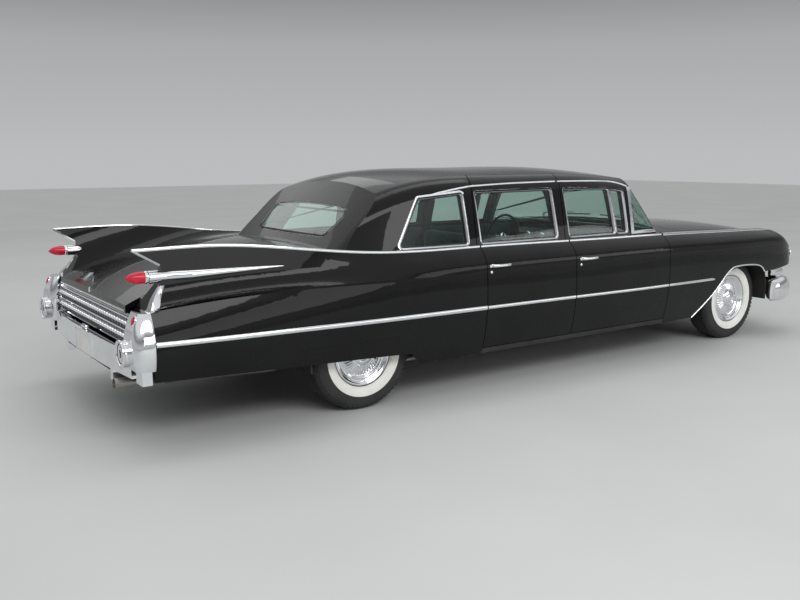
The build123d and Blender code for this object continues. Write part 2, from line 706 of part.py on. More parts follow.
# Deck panel between the rear slope and the lid, with the parcel shelf and the rear bulkhead.
deck_box = plan_prism([(LID_FRONT_X, -1), (LID_FRONT_X, LID_HALF - SEAM),
                       (-1500, LID_HALF - SEAM), (-1500, -1)], 600)
with BuildPart() as deck_panel:
    add(both_sides(common(shell, deck_box)))
    slab((-1700, -1500), (-690, 690), (968, 980))
    slab((-1512, -1500), (-630, 630), (REAR_FLOOR_Z + FIT, 972))
    for side in (-1, 1):
        slab((LID_FRONT_X - GAP + FIT, LID_FRONT_X + 2), sorted((side * 480, side * 540)),
             (992, 1006))
keep("deck_panel", deck_panel.part)

# Trunk lid: top skin with a lip that turns down at the tail.
lid_lip = common(body_outer, side_prism([(LID_END_X, LID_LIP_Z), (LID_END_X + 24, LID_LIP_Z),
                                         (LID_END_X + 24, 900), (LID_END_X, 900)]), lid_space)
lid_top = common(less(body_outer, body_inner), lid_space,
                 side_prism([(LID_END_X, 700), (-1700, 700), (-1700, 1100), (LID_END_X, 1100)]))
keep("trunk_lid", both_sides(joined(lid_top, lid_lip)))



def stud(length, radius):
    """Grille stud along X from the origin: a collar with a pointed dome. Minus is rearwards."""
    collar = math.copysign(STUD_COLLAR, length)
    with BuildPart() as bullet:
        with BuildSketch(Plane.XZ):
            with BuildLine():
                Polyline((0, 0), (0, radius), (collar, radius), (collar, radius - 3))
                ThreePointArc((collar, radius - 3), (0.62 * length, 0.62 * radius), (length, 0))
                Line((length, 0), (0, 0))
            make_face()
        revolve(axis=Axis.X)
    return bullet.part


def stud_rows(x, half, levels, length, radius):
    """Rows of studs across the car, evenly spaced between -half and half."""
    count = 2 * round(half / STUD_PITCH)
    step = 2 * half / count
    one = stud(length, radius)
    return [one.moved(Location((x, -half + i * step, z)))
            for z in levels for i in range(count + 1)]


# Tail panel below the lid, with rows of studs between the bumper's pods.
with BuildPart() as tail_panel:
    slab((-2990, -2972), (-785, 785), (405, LID_LIP_Z - GAP))
    for z in TAIL_BAR_Z:
        slab((-3010, -2985), (-770, 770), (z, z + 8))
    for z in TAIL_STUD_Z:
        slab((-2998, -2985), (-770, 770), (z - 3, z + 3))
    add(stud_rows(-2988, 740, TAIL_STUD_Z, -32, STUD_R))
keep("tail_panel", tail_panel.part)

# Lamp spears: a chrome pod through each fin, tapering to a point, with the red cone behind.
with BuildPart() as spear:
    with BuildSketch(Plane.YZ.offset(SPEAR_X)):
        with Locations((SPEAR_Y, SPEAR_Z)):
            Ellipse(52, 31)
    with BuildSketch(Plane.YZ.offset(-2560)):
        with Locations((846, 957)):
            Ellipse(48, 19)
    with BuildSketch(Plane.YZ.offset(SPEAR_TIP_X)):
        with Locations((868, 963)):
            Ellipse(34, 2)
    loft()
    add(pieces["quarter_panel_l"], mode=Mode.SUBTRACT)
with BuildPart() as tail_lamp:
    with BuildSketch(Plane(origin=(0, SPEAR_Y, SPEAR_Z + 3), x_dir=(1, 0, 0), z_dir=(0, -1, 0))):
        with BuildLine():
            Polyline((SPEAR_X - FIT, 0), (SPEAR_X - FIT, 27), (SPEAR_X - 60, 22),
                     (SPEAR_X - 100, 12), (LAMP_TIP_X, 0), close=True)
        make_face()
    revolve(axis=Axis((SPEAR_X, SPEAR_Y, SPEAR_Z + 3), (-1, 0, 0)))
keep_pair("lamp_spear", spear.part)
keep("tail_lamps", both_sides(tail_lamp.part))

# Rear bumper: a bar with a recessed middle, and a tall pod with a round lamp at each corner.
with BuildPart() as rear_bumper:
    with BuildSketch(Plane.XY.offset(REAR_BAR_Z)):
        with BuildLine():
            ThreePointArc((-3060, 0), (-3052, 450), (-3030, 800))
            Line((-3030, 800), (-2995, 800))
            ThreePointArc((-2995, 800), (-3012, 450), (-3020, 0))
            Line((-3020, 0), (-3060, 0))
        make_face()
        mirror(about=Plane.XZ)
    extrude(amount=BAR_HEIGHT)
    for side in (-1, 1):
        with BuildSketch(Plane.XY.offset(476)):
            with Locations((-3000, side * POD_Y)):
                RectangleRounded(120, 215, 45)
        with BuildSketch(Plane.XY.offset(625)):
            with Locations((-3000, side * POD_Y)):
                RectangleRounded(145, 232, 50)
        with BuildSketch(Plane.XY.offset(780)):
            with Locations((-2985, side * (POD_Y - 20))):
                RectangleRounded(80, 160, 35)
        loft()
        slab((-3030, -2975), sorted((side * 880, side * 980)), (395, 480))
        rod((-3060, side * POD_LAMP[0], POD_LAMP[1]), (REAR, side * POD_LAMP[0], POD_LAMP[1]),
            POD_LAMP_R)
        rod((REAR + 14, side * POD_LAMP[0], POD_LAMP[1]), (REAR - 1, side * POD_LAMP[0], POD_LAMP[1]),
            POD_LAMP_R - 12, mode=Mode.SUBTRACT)
        rod((REAR + 16, side * POD_LAMP[0], POD_LAMP[1]), (REAR + 5, side * POD_LAMP[0], POD_LAMP[1]),
            POD_LAMP_R / 2)
        slab((-3045, -2960 - FIT), sorted((side * 460, side * 510)), (330, 412))
    slab((-2962.5, -2850), (-BODY_SIDE, BODY_SIDE), (385, 900), mode=Mode.SUBTRACT)
    slab((-2991, -2850), (-786, 786), (404, 900), mode=Mode.SUBTRACT)
keep("rear_bumper", rear_bumper.part)

# Front bumper: a tall bar that wraps round to the wheel openings, with a blade above it.
with BuildPart() as front_bumper:
    with BuildSketch(Plane.XY.offset(FRONT_BAR_Z)):
        with BuildLine():
            ThreePointArc((FRONT, 0), (3093, 330), (3052, 620))
            ThreePointArc((3052, 620), (2968, 860), (2650, 1000))
            Line((2650, 1000), (2650, 965))
            ThreePointArc((2650, 965), (2835, 930), (2925, 845))
            ThreePointArc((2925, 845), (3022, 500), (3062, 0))
            Line((3062, 0), (FRONT, 0))
        make_face()
        mirror(about=Plane.XZ)
    extrude(amount=BAR_HEIGHT)
    with BuildSketch(Plane.XY.offset(BLADE_Z)):
        with BuildLine():
            ThreePointArc((3060, 0), (3040, 520), (2965, 860))
            ThreePointArc((2965, 860), (2880, 920), (2700, 945))
            Line((2700, 945), (2700, 915))
            ThreePointArc((2700, 915), (2865, 890), (2940, 830))
            ThreePointArc((2940, 830), (3010, 510), (3030, 0))
            Line((3030, 0), (3060, 0))
        make_face()
        mirror(about=Plane.XZ)
    extrude(amount=BLADE_HEIGHT)
    for side in (-1, 1):
        slab((3020, 3050), sorted((side * 300, side * 360)), (470, 535))
        slab((2920, 2950), sorted((side * 780, side * 840)), (470, 535))
        slab((2950 + FIT, 3070), sorted((side * 345, side * 395)), (FRONT_BAR_Z, 400))
keep("front_bumper", front_bumper.part)

# Front grille and headlamps.
with BuildPart() as front_grille:
    slab((2986, 2996), (-NOSE_HALF + FIT, NOSE_HALF - FIT), (590, 728))
    for z in GRILLE_BAR_Z:
        slab((2990, 3018 - FIT), (-NOSE_HALF + FIT, NOSE_HALF - FIT), (z, z + 8))
    for z in GRILLE_STUD_Z:
        slab((2990, 3004), (-NOSE_HALF + FIT, NOSE_HALF - FIT), (z - 3, z + 3))
    add(stud_rows(2994, 520, GRILLE_STUD_Z, 32, STUD_R))
keep("front_grille", front_grille.part)

# Each headlamp has a rim with a domed lens inside it.
lens_r = HEADLAMP_R - 10
dome_z, dome_drop = crown_mid(LENS_RISE, lens_r)
with BuildPart() as headlamps:
    with BuildSketch(Plane.XZ):
        with BuildLine():
            Polyline((2990, 0), (2990, HEADLAMP_R), (3038, HEADLAMP_R), (3043, HEADLAMP_R - 5),
                     (3034, lens_r))
            ThreePointArc((3034, lens_r), (3034 + LENS_RISE - dome_drop, dome_z),
                          (3034 + LENS_RISE, 0))
            Line((3034 + LENS_RISE, 0), (2990, 0))
        make_face()
    revolve(axis=Axis.X)
lamp_places = [(0, side * lamp_y, HEADLAMP_Z) for side in (-1, 1) for lamp_y in HEADLAMP_Y]
keep("headlamps", joined(*[headlamps.part.moved(Location(place)) for place in lamp_places]))

# Chassis: a crossed frame with outriggers, front tower and rear kick-up.
with BuildPart() as chassis_frame:
    for side in (-1, 1):
        with BuildSketch(Plane.XY.offset(140)):
            with BuildLine():
                Polyline(*[(x, side * y) for x, y in RAIL_PLAN], close=True)
            make_face()
        extrude(amount=500)
    with BuildSketch(Plane.XZ.offset(-BODY_SIDE)):
        with BuildLine():
            Polyline(*RAIL_SIDE, close=True)
        make_face()
    extrude(amount=2 * BODY_SIDE, mode=Mode.INTERSECT)
    for x in OUTRIGGER_X:
        slab((x - 30, x + 30), (-700, 700), (200, SILL_Z - FIT))
        slab((x - 30, x + 30), (-890, 890), (238, SILL_Z - FIT))
    slab((2120, 2320), (-425, 425), (170, 240))
    for side in (-1, 1):
        slab((2140, 2300), sorted((side * 335, side * 425)), (230, 520))
        slab((2780, 2880), sorted((side * 335, side * 405)), (300, 400 - FIT))
    slab((-2960, -2920), (-520, 520), (310, 400))
keep("chassis_frame", chassis_frame.part)

# Front floor: pan, tunnel, the hump over the gearbox, and the rockers.
with BuildPart() as floor_pan:
    slab((RISER_X + FIT, FIREWALL_X + SHEET), (-FLOOR_HALF, FLOOR_HALF), (FLOOR_Z, FLOOR_Z + SHEET))
    slab((REAR_DOOR_X + GAP, FRONT_DOOR_X - GAP), (-900, 900), (FLOOR_Z, FLOOR_Z + SHEET))
    slab((RISER_X + FIT, 1480), (-TUNNEL_HALF, TUNNEL_HALF), (FLOOR_Z, TUNNEL_Z))
    slab((900, FIREWALL_X - FIT), (-HUMP_HALF, HUMP_HALF), (FLOOR_Z, HUMP_Z))
    slab((RISER_X - 20, 1470), (SHEET - TUNNEL_HALF, TUNNEL_HALF - SHEET),
         (FLOOR_Z - 5, TUNNEL_Z - SHEET), mode=Mode.SUBTRACT)
    slab((900 + SHEET, FIREWALL_X + 20), (-HUMP_HALF + SHEET, HUMP_HALF - SHEET),
         (FLOOR_Z - 5, HUMP_Z - SHEET), mode=Mode.SUBTRACT)
    add(both_sides(common(thick_shell, plan_prism(
        [(REAR_DOOR_X - GAP / 2 + SEAM, 500), (FRONT_DOOR_X + GAP / 2 - SEAM, 500),
         (FRONT_DOOR_X + GAP / 2 - SEAM, BODY_SIDE), (REAR_DOOR_X - GAP / 2 + SEAM, BODY_SIDE)],
        200, DOOR_BOTTOM_Z - GAP))))
    for side in (-1, 1):
        with BuildSketch(Plane.XZ.offset(-side * (WHEELHOUSE_Y - FIT))):
            with Locations((REAR_AXLE_X, AXLE_Z)):
                Circle(WHEELHOUSE_R + FIT)
        extrude(amount=-side * 400, mode=Mode.SUBTRACT)
keep("floor_pan", floor_pan.part)

# Rear floor: a riser in front of the axle, the trunk floor and the wheelhouses.
with BuildPart() as rear_floor:
    slab((RISER_X - SHEET, RISER_X), (-FLOOR_HALF, FLOOR_HALF), (FLOOR_Z, REAR_FLOOR_Z))
    slab((-1980, RISER_X), (-FLOOR_HALF, FLOOR_HALF), (REAR_FLOOR_Z - SHEET, REAR_FLOOR_Z))
    slab((-1992, -1980), (-FLOOR_HALF, FLOOR_HALF), (TRUNK_FLOOR_Z - SHEET, REAR_FLOOR_Z))
    slab((-2930, -1980), (-FLOOR_HALF, FLOOR_HALF), (TRUNK_FLOOR_Z - SHEET, TRUNK_FLOOR_Z))
    slab((-2972 + FIT, -2930), (-690, 690), (TRUNK_FLOOR_Z - SHEET, TRUNK_FLOOR_Z))
    for side in (-1, 1):
        with BuildSketch(Plane.XZ.offset(-side * WHEELHOUSE_Y)):
            with Locations((REAR_AXLE_X, AXLE_Z)):
                Circle(WHEELHOUSE_R)
        extrude(amount=-side * (925 - WHEELHOUSE_Y))
    slab((-1999, -1169), (-930, 930), (-100, 300), mode=Mode.SUBTRACT)
    slab((REAR_AXLE_X - 70, REAR_AXLE_X + 70), (-665, 665), (250, 450), mode=Mode.SUBTRACT)
    for side in (-1, 1):
        with BuildSketch(Plane.XZ.offset(-side * (WHEELHOUSE_Y + SHEET))):
            with Locations((REAR_AXLE_X, AXLE_Z)):
                Circle(WHEELHOUSE_R - SHEET)
        extrude(amount=-side * 400, mode=Mode.SUBTRACT)
    slab((RISER_X - SHEET - 1, RISER_X + 1), (SHEET - TUNNEL_HALF, TUNNEL_HALF - SHEET),
         (FLOOR_Z - 5, TUNNEL_Z - SHEET), mode=Mode.SUBTRACT)
keep("rear_floor", rear_floor.part)

# Centre pillars behind the doors' meeting edges, with pads that the doors close on.
PILLAR_X = (90.0, 205.0)


def inside(wall, top_wall):
    """The doors' stretch of the space inside the body."""
    return lofted(BODY[4:8], draw_inside(wall, top_wall))


pillar_face = inside(DOOR_WALL + GAP, TOP_WALL + GAP)
pillar_lower = common(
    less(pillar_face, inside(DOOR_WALL + GAP + 40, TOP_WALL + GAP + 40),
         less(cabin_outer, cabin(ROOF_WALL + GAP))),
    plan_prism([(PILLAR_X[0], 800), (PILLAR_X[1], 800), (PILLAR_X[1], BODY_SIDE),
                (PILLAR_X[0], BODY_SIDE)], DOOR_BOTTOM_Z - GAP + FIT, 920))
pillar_upper = common(
    less(cabin(ROOF_WALL + GAP), cabin(ROOF_WALL + GAP + 34)),
    plan_prism([(115, 640), (180, 640), (180, BODY_SIDE), (115, BODY_SIDE)], 894, 1440))
door_pads = [
    common(less(inside(DOOR_WALL + FIT, TOP_WALL + FIT), pillar_face),
           plan_prism([(x0, 800), (x1, 800), (x1, BODY_SIDE), (x0, BODY_SIDE)],
                      leaf_z, leaf_z + HINGE_LEAF))
    for x0, x1 in ((PILLAR_X[0], 135), (165, PILLAR_X[1])) for leaf_z in HINGE_LEAF_Z
]
keep("center_pillars", both_sides(joined(pillar_lower, pillar_upper, *door_pads)))

# Engine and gearbox, closed in, as plain blocks.
with BuildPart() as engine_block:
    slab((1590, 2350), (-270, 270), (290, 860))
    slab((GEARBOX_X, 1590), (-140, 140), (262, 480))
    for side in (-1, 1):
        slab((1900, 1980), sorted((side * 265, side * 380)), (240, 330))
    add(pieces["chassis_frame"], mode=Mode.SUBTRACT)
keep("engine_block", engine_block.part)


def wheel_plane(x, y):
    """Plane for a wheel's half section: local x is radial and local y runs along the axle."""
    return Plane(origin=(x, y, AXLE_Z), x_dir=(1, 0, 0), z_dir=(0, 0, 1))


def tyre_at(x, y):
    """Tyre with a rounded tread and bulging walls."""
    half = TYRE_WIDTH / 2
    with BuildPart() as tyre:
        with BuildSketch(wheel_plane(x, y)):
            with BuildLine():
                Polyline((RIM_R, -72), (RIM_R, 72), (246, half), (312, half - 2),
                         (TYRE_R, 70), (TYRE_R, -70), (312, 2 - half), (246, -half), close=True)
            make_face()
        revolve(axis=Axis((x, y, AXLE_Z), (0, 1, 0)))
    return tyre.part


def wheel_at(x, y, side):
    """Rim, disc and domed cover, bored to run on its stub axle."""
    section = [(0, 101), (70, 92), (92, 72), (130, 76), (194, 90), (203, 82),
               (RIM_R - FIT, 74), (RIM_R - FIT, -68), (183, -68), (183, 50), (60, 50),
               (60, -20), (STUB_R + FIT, -20), (STUB_R + FIT, 60), (0, 60)]
    with BuildPart() as wheel:
        with BuildSketch(wheel_plane(x, y)):
            with BuildLine():
                Polyline(*[(r, side * w) for r, w in section], close=True)
            make_face()
        revolve(axis=Axis((x, y, AXLE_Z), (0, 1, 0)))
    return wheel.part


for place, x in (("front", FRONT_AXLE_X), ("rear", REAR_AXLE_X)):
    for tag, side in (("l", 1), ("r", -1)):
        keep(f"tyre_{place}_{tag}", tyre_at(x, side * HALF_TRACK))
        keep(f"wheel_{place}_{tag}", wheel_at(x, side * HALF_TRACK, side))

# Rear axle with its differential, drums, stubs and propeller shaft.
with BuildPart() as rear_axle:
    rod((REAR_AXLE_X, -715, AXLE_Z), (REAR_AXLE_X, 715, AXLE_Z), AXLE_TUBE_R)
    with BuildSketch(Plane.XZ):
        with Locations((REAR_AXLE_X, AXLE_Z)):
            RegularPolygon(140, 12)
    extrude(amount=75, both=True)
    chamfer(rear_axle.part.faces().filter_by(Axis.Y).edges().filter_by(GeomType.LINE), 40)
    for side in (-1, 1):
        hub_y = side * HALF_TRACK
        rod((REAR_AXLE_X, hub_y - side * 66, AXLE_Z), (REAR_AXLE_X, hub_y - side * 30, AXLE_Z),
            DRUM_R)
        rod((REAR_AXLE_X, hub_y - side * 40, AXLE_Z), (REAR_AXLE_X, hub_y + side * 55, AXLE_Z),
            STUB_R)
        slab((REAR_AXLE_X - 30, REAR_AXLE_X + 30), sorted((side * 455, side * 515)),
             (AXLE_Z, 420 - FIT))
    rod((REAR_AXLE_X + 100, 0, AXLE_Z), (GEARBOX_X - FIT, 0, AXLE_Z), PROPSHAFT_R)
keep("rear_axle", rear_axle.part)

# Front suspension arms, and the knuckles that carry and steer the wheels.
with BuildPart() as front_suspension:
    for side in (-1, 1):
        for low, high, foot, span in ((195, 229.7, 425, 140), (480.3, 505, 425, 80)):
            with BuildSketch(Plane.XY.offset(low)):
                with BuildLine():
                    Polyline((FRONT_AXLE_X - 30, side * 706), (FRONT_AXLE_X + 30, side * 706),
                             (FRONT_AXLE_X + span, side * foot),
                             (FRONT_AXLE_X - span, side * foot), close=True)
                make_face()
            extrude(amount=high - low)
        rod((FRONT_AXLE_X, side * 520, 229), (FRONT_AXLE_X, side * 520, 481), 52)
    add(pieces["chassis_frame"], mode=Mode.SUBTRACT)
keep("front_suspension", front_suspension.part)
with BuildPart() as knuckle:
    slab((FRONT_AXLE_X - 28, FRONT_AXLE_X + 28), (KINGPIN_Y - 14, KINGPIN_Y + 14), (230, 480))
    rod((FRONT_AXLE_X, HALF_TRACK - 66, AXLE_Z), (FRONT_AXLE_X, HALF_TRACK - 30, AXLE_Z), DRUM_R)
    rod((FRONT_AXLE_X, HALF_TRACK - 40, AXLE_Z), (FRONT_AXLE_X, HALF_TRACK + 55, AXLE_Z), STUB_R)
    slab((FRONT_AXLE_X - 150, FRONT_AXLE_X), (KINGPIN_Y - 10, KINGPIN_Y + 10), (290, 315))
keep_pair("knuckle", knuckle.part)

# Exhaust and fuel tank.
with BuildPart() as exhaust:
    with BuildLine() as run:
        FilletPolyline(*PIPE_RUN, radius=60)
    with BuildSketch(Plane(origin=run.line @ 0, z_dir=run.line % 0)):
        Circle(PIPE_R)
    sweep(path=run.line)
    rod((330, -330, MUFFLER_Z), (-330, -330, MUFFLER_Z), MUFFLER_R)
    for x in OUTRIGGER_X[1:3]:
        slab((x - 10, x + 10), (-350, -310), (MUFFLER_Z, 200 - FIT))
    slab((-2512, -2488), (-580, -520 - FIT), (310, 326))
keep("exhaust", exhaust.part)
with BuildPart() as fuel_tank:
    slab((-2720, -2240), (-440, 440), (250, TRUNK_FLOOR_Z - SHEET - FIT))
keep("fuel_tank", fuel_tank.part)

# Seats: one cushion and one back each.
with BuildPart() as front_seat:
    with BuildSketch(Plane.XZ.offset(-FRONT_SEAT_HALF)):
        with BuildLine():
            Polyline(*FRONT_SEAT, close=True)
        make_face()
    extrude(amount=2 * FRONT_SEAT_HALF)
    slab((80, 640), (80 - FRONT_SEAT_HALF, FRONT_SEAT_HALF - 80),
         (FLOOR_Z + SHEET + FIT, SEAT_BASE_Z))
    slab((0, 700), (-TUNNEL_HALF - 1, TUNNEL_HALF + 1), (200, TUNNEL_Z + 2), mode=Mode.SUBTRACT)
keep("front_seat", front_seat.part)
with BuildPart() as rear_seat:
    with BuildSketch(Plane.XZ.offset(-REAR_SEAT_HALF)):
        with BuildLine():
            Polyline(*REAR_SEAT, close=True)
        make_face()
    extrude(amount=2 * REAR_SEAT_HALF)
    slab((-1310, -800), (25 - REAR_SEAT_HALF, REAR_SEAT_HALF - 25),
         (FLOOR_Z + SHEET + FIT, SEAT_BASE_Z))
    slab((-1400, -700), (-TUNNEL_HALF - 1, TUNNEL_HALF + 1), (200, TUNNEL_Z + 2),
         mode=Mode.SUBTRACT)
keep("rear_seat", rear_seat.part)

# Dashboard, column and steering wheel.
with BuildPart() as dashboard:
    with BuildSketch(Plane.XZ.offset(-DASH_HALF)):
        with BuildLine():
            Polyline((FIREWALL_X - FIT, 700), (FIREWALL_X - FIT, 905), (1425, 915), (1390, 938),
                     (1140, 932), (1095, 890), (1130, 780), (1260, 720), close=True)
        make_face()
    extrude(amount=2 * DASH_HALF)
    rod(COLUMN_FOOT, COLUMN_HEAD, 24)
keep("dashboard", dashboard.part)
wheel_axis = (Vector(*COLUMN_HEAD) - Vector(*COLUMN_FOOT)).normalized()
wheel_centre = Vector(*COLUMN_HEAD) + wheel_axis * 30
wheel_face = Plane(origin=wheel_centre, x_dir=(0, 1, 0), z_dir=wheel_axis)
with BuildPart() as steering_wheel:
    with BuildSketch(wheel_face):
        Circle(38)
        Rectangle(396, 26)
    extrude(amount=10, both=True)
    with BuildSketch(Plane(origin=wheel_centre, x_dir=(0, 1, 0), z_dir=wheel_face.y_dir)):
        with Locations((STEERING_R, 0)):
            RegularPolygon(12, 6)
    revolve(axis=Axis(wheel_centre, wheel_axis))
    rod(Vector(*COLUMN_HEAD) + wheel_axis * FIT, wheel_centre, 22)
keep("steering_wheel", steering_wheel.part)

os.makedirs("parts", exist_ok=True)
for name, piece in pieces.items():
    piece.label = name
    export_step(piece, f"parts/{name}.step")
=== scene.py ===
# %% [markdown]
# # A tail-fin limousine, dressed for the photograph
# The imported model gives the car's panels, doors and wheels in their true places. This lesson
# gives them paint, chrome and glass, and adds what a panel model leaves out. Lengths in the
# helpers are in millimetres, because body drawings are, and are scaled once at the end.

# %% The frame
import math

import bmesh
import bpy
from mathutils import Matrix, Vector
from mathutils.bvhtree import BVHTree


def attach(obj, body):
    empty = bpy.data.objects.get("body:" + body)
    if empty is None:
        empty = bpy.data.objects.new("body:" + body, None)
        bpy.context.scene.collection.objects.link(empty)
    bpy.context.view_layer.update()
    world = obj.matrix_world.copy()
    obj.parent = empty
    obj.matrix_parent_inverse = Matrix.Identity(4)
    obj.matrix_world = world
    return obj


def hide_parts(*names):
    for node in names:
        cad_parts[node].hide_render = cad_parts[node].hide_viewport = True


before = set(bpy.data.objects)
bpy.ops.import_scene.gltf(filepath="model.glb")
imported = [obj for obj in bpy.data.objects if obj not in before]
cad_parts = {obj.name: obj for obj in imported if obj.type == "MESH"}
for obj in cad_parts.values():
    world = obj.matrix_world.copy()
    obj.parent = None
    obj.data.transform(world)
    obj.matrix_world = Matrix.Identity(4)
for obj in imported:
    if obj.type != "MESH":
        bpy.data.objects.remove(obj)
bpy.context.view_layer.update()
MM = 0.001
ROOT = "body"
SIDES = ((1, "l"), (-1, "r"))

# %% [markdown]
# ## Camera, floor and light
# The camera stands where the photographer stood, worked out from the wheels' known places.
# A plain pale floor and broad soft lamps light the car. Black paint shows nothing but what it
# mirrors, so the world is bright overhead with a darker band above the horizon, and long lamps
# draw the highlights that follow the fins and the roof.

# %% Camera
CAMERA_AT = Vector((-4442.4, -5392.15, 1595.27)) * MM
YAW, PITCH, ROLL = 55.24, -9.45, -0.1
LENS, SENSOR = 39.04, 36.0


def place(name, data):
    """An object that holds some data, in the scene."""
    obj = bpy.data.objects.new(name, data)
    bpy.context.collection.objects.link(obj)
    return obj


camera = place("camera", bpy.data.cameras.new("camera"))
camera.data.lens, camera.data.sensor_width = LENS, SENSOR
stand = Matrix.Translation(CAMERA_AT)
for degrees, axis in ((YAW - 90, "Z"), (90 + PITCH, "X"), (ROLL, "Z")):
    stand = stand @ Matrix.Rotation(math.radians(degrees), 4, axis)
camera.matrix_world = stand
bpy.context.scene.camera = camera
bpy.context.scene.view_settings.view_transform = "Standard"
print("camera", tuple(CAMERA_AT), "lens", LENS)


# %% Node helpers, and the floor
FLOOR_HALF = 40.0


def add_node(tree, kind, **values):
    """A node, with settings and sockets by name, or by number as _0. Sockets are linked."""
    node = tree.nodes.new(kind)
    for key, value in values.items():
        linked = isinstance(value, bpy.types.NodeSocket)
        if hasattr(node, key) and not linked:
            setattr(node, key, value)
            continue
        socket = node.inputs[int(key[1:]) if key[0] == "_" else key.replace("_", " ")]
        if linked:
            tree.links.new(value, socket)
        else:
            socket.default_value = value
    return node


def noise(tree, scale, detail=3.0, stretch=(1, 1, 1)):
    """Noise over the object's own coordinates, stretched where the finish has a direction."""
    own = add_node(tree, "ShaderNodeTexCoord").outputs["Object"]
    mapping = add_node(tree, "ShaderNodeMapping", Vector=own, Scale=stretch)
    return add_node(tree, "ShaderNodeTexNoise", Vector=mapping.outputs[0], Scale=scale,
        Detail=detail).outputs["Fac"]


def new_finish(name):
    """A material, its tree and its shader."""
    material = bpy.data.materials.new(name)
    material.use_nodes = True
    return material, material.node_tree, material.node_tree.nodes["Principled BSDF"]


def tint(tree, shader, value, band, dark, light):
    """Colour that goes from dark to light as a value goes through a band."""
    ramp = add_node(tree, "ShaderNodeValToRGB", Fac=value)
    for stop, position, colour in zip(ramp.color_ramp.elements, band, (dark, light)):
        stop.position, stop.color = position, (*colour, 1)
    tree.links.new(ramp.outputs["Color"], shader.inputs["Base Color"])


def bump(tree, shader, height, strength, distance):
    node = add_node(tree, "ShaderNodeBump", Height=height, Strength=strength,
        Distance=distance)
    tree.links.new(node.outputs[0], shader.inputs["Normal"])


floor_mesh = bpy.data.meshes.new("floor")
floor_mesh.from_pydata([(x * FLOOR_HALF, y * FLOOR_HALF, 0)
    for x, y in ((-1, -1), (1, -1), (1, 1), (-1, 1))], [], [(0, 1, 2, 3)])
floor_paint, tree, shader = new_finish("studio_floor")
tint(tree, shader, noise(tree, 0.6), (0.3, 0.7), (0.5, 0.51, 0.5), (0.54, 0.55, 0.54))
shader.inputs["Roughness"].default_value = 0.75
floor_mesh.materials.append(floor_paint)
place("floor", floor_mesh)
print("floor", 2 * FLOOR_HALF, "m wide")

# %% World and lamps
# Each stop of the sky is its height, its brightness and how blue it is.
SKY_STOPS = ((0.0, 0.5, 1.02), (1.0, 0.8, 1.02), (0.12, 0.4, 1.03), (0.2, 0.22, 1.03),
    (0.3, 0.3, 1.03), (0.42, 0.7, 1.03))
# Each lamp is its name, its place, what it looks at, its width, its length and its watts.
LAMPS = (("key_lamp", (-2.0, -8.0, 5.5), (-0.5, 0, 0.6), 9.0, 2.5, 350),
    ("far_lamp", (-1.0, 9.0, 6.2), (-1.0, 0, 0.8), 10.0, 3.0, 60),
    ("top_lamp", (0.0, 0.5, 8.0), (0, 0, 0), 9.0, 2.5, 110),
    ("side_lamp", (4.0, -9.5, 2.4), (0, 0, 0.9), 12.0, 2.2, 150))

world = bpy.data.worlds.new("studio")
bpy.context.scene.world = world
world.use_nodes = True
sky_tree = world.node_tree
sky = sky_tree.nodes["Background"]
where = add_node(sky_tree, "ShaderNodeTexCoord")
height = add_node(sky_tree, "ShaderNodeSeparateXYZ", Vector=where.outputs["Generated"])
grade = add_node(sky_tree, "ShaderNodeValToRGB", Fac=height.outputs["Z"])
stops = grade.color_ramp.elements
for number, (position, value, blue) in enumerate(SKY_STOPS):
    stop = stops[number] if number < 2 else stops.new(position)
    stop.position, stop.color = position, (value, value * 1.01, value * blue, 1)
sky_tree.links.new(grade.outputs[0], sky.inputs["Color"])
sky.inputs["Strength"].default_value = 1.0

for name, at, look_at, width, length, watts in LAMPS:
    data = bpy.data.lights.new(name, "AREA")
    data.shape, data.size, data.size_y, data.energy = "RECTANGLE", width, length, watts
    lamp = place(name, data)
    aim = (Vector(look_at) - Vector(at)).to_track_quat("-Z", "Y").to_matrix().to_4x4()
    lamp.matrix_world = Matrix.Translation(Vector(at)) @ aim
    lamp.visible_camera = False
print("lamps", len(LAMPS))

# %% [markdown]
# ## Finishes
# Black lacquer is a near-black base under a clear coat, with a faint orange-peel ripple and a
# haze of dust that dulls it unevenly. Chrome is a mirror with slight clouding. The glass is
# tinted green, as heat-absorbing glass was. Each finish varies by noise on the object's own
# coordinates, so it stays put when a door swings.


# %% Paint, chrome and glass
def coat(name, dark, light, rough, cloud, band=(0.3, 0.7), gloss=None, relief=None, **sockets):
    """A finish with blotchy colour and roughness, a fine relief, and plain socket values."""
    material, tree, shader = new_finish(name)
    value = noise(tree, *cloud)
    tint(tree, shader, value, band, dark, light)
    shine = add_node(tree, "ShaderNodeMapRange", Value=noise(tree, *gloss) if gloss else value,
        To_Min=rough[0], To_Max=rough[1])
    tree.links.new(shine.outputs[0], shader.inputs["Roughness"])
    for socket, number in sockets.items():
        shader.inputs[socket.replace("_", " ")].default_value = number
    if relief:
        bump(tree, shader, noise(tree, *relief[:2]), *relief[2:])
    return material


def metal(name, colour, low, high, scale=14.0, stretch=(1, 1, 1)):
    return coat(name, [c * 0.9 for c in colour], colour, (low, high), (scale, 5.0, stretch),
        relief=(90.0, 3.0, 0.04, 0.0006), Metallic=1.0)


def pane(name, colour, low, high, clear=1.0):
    return coat(name, [c * 0.97 for c in colour], colour, (low, high), (1.4,),
        gloss=(30.0, 5.0), Transmission_Weight=clear, IOR=1.46)


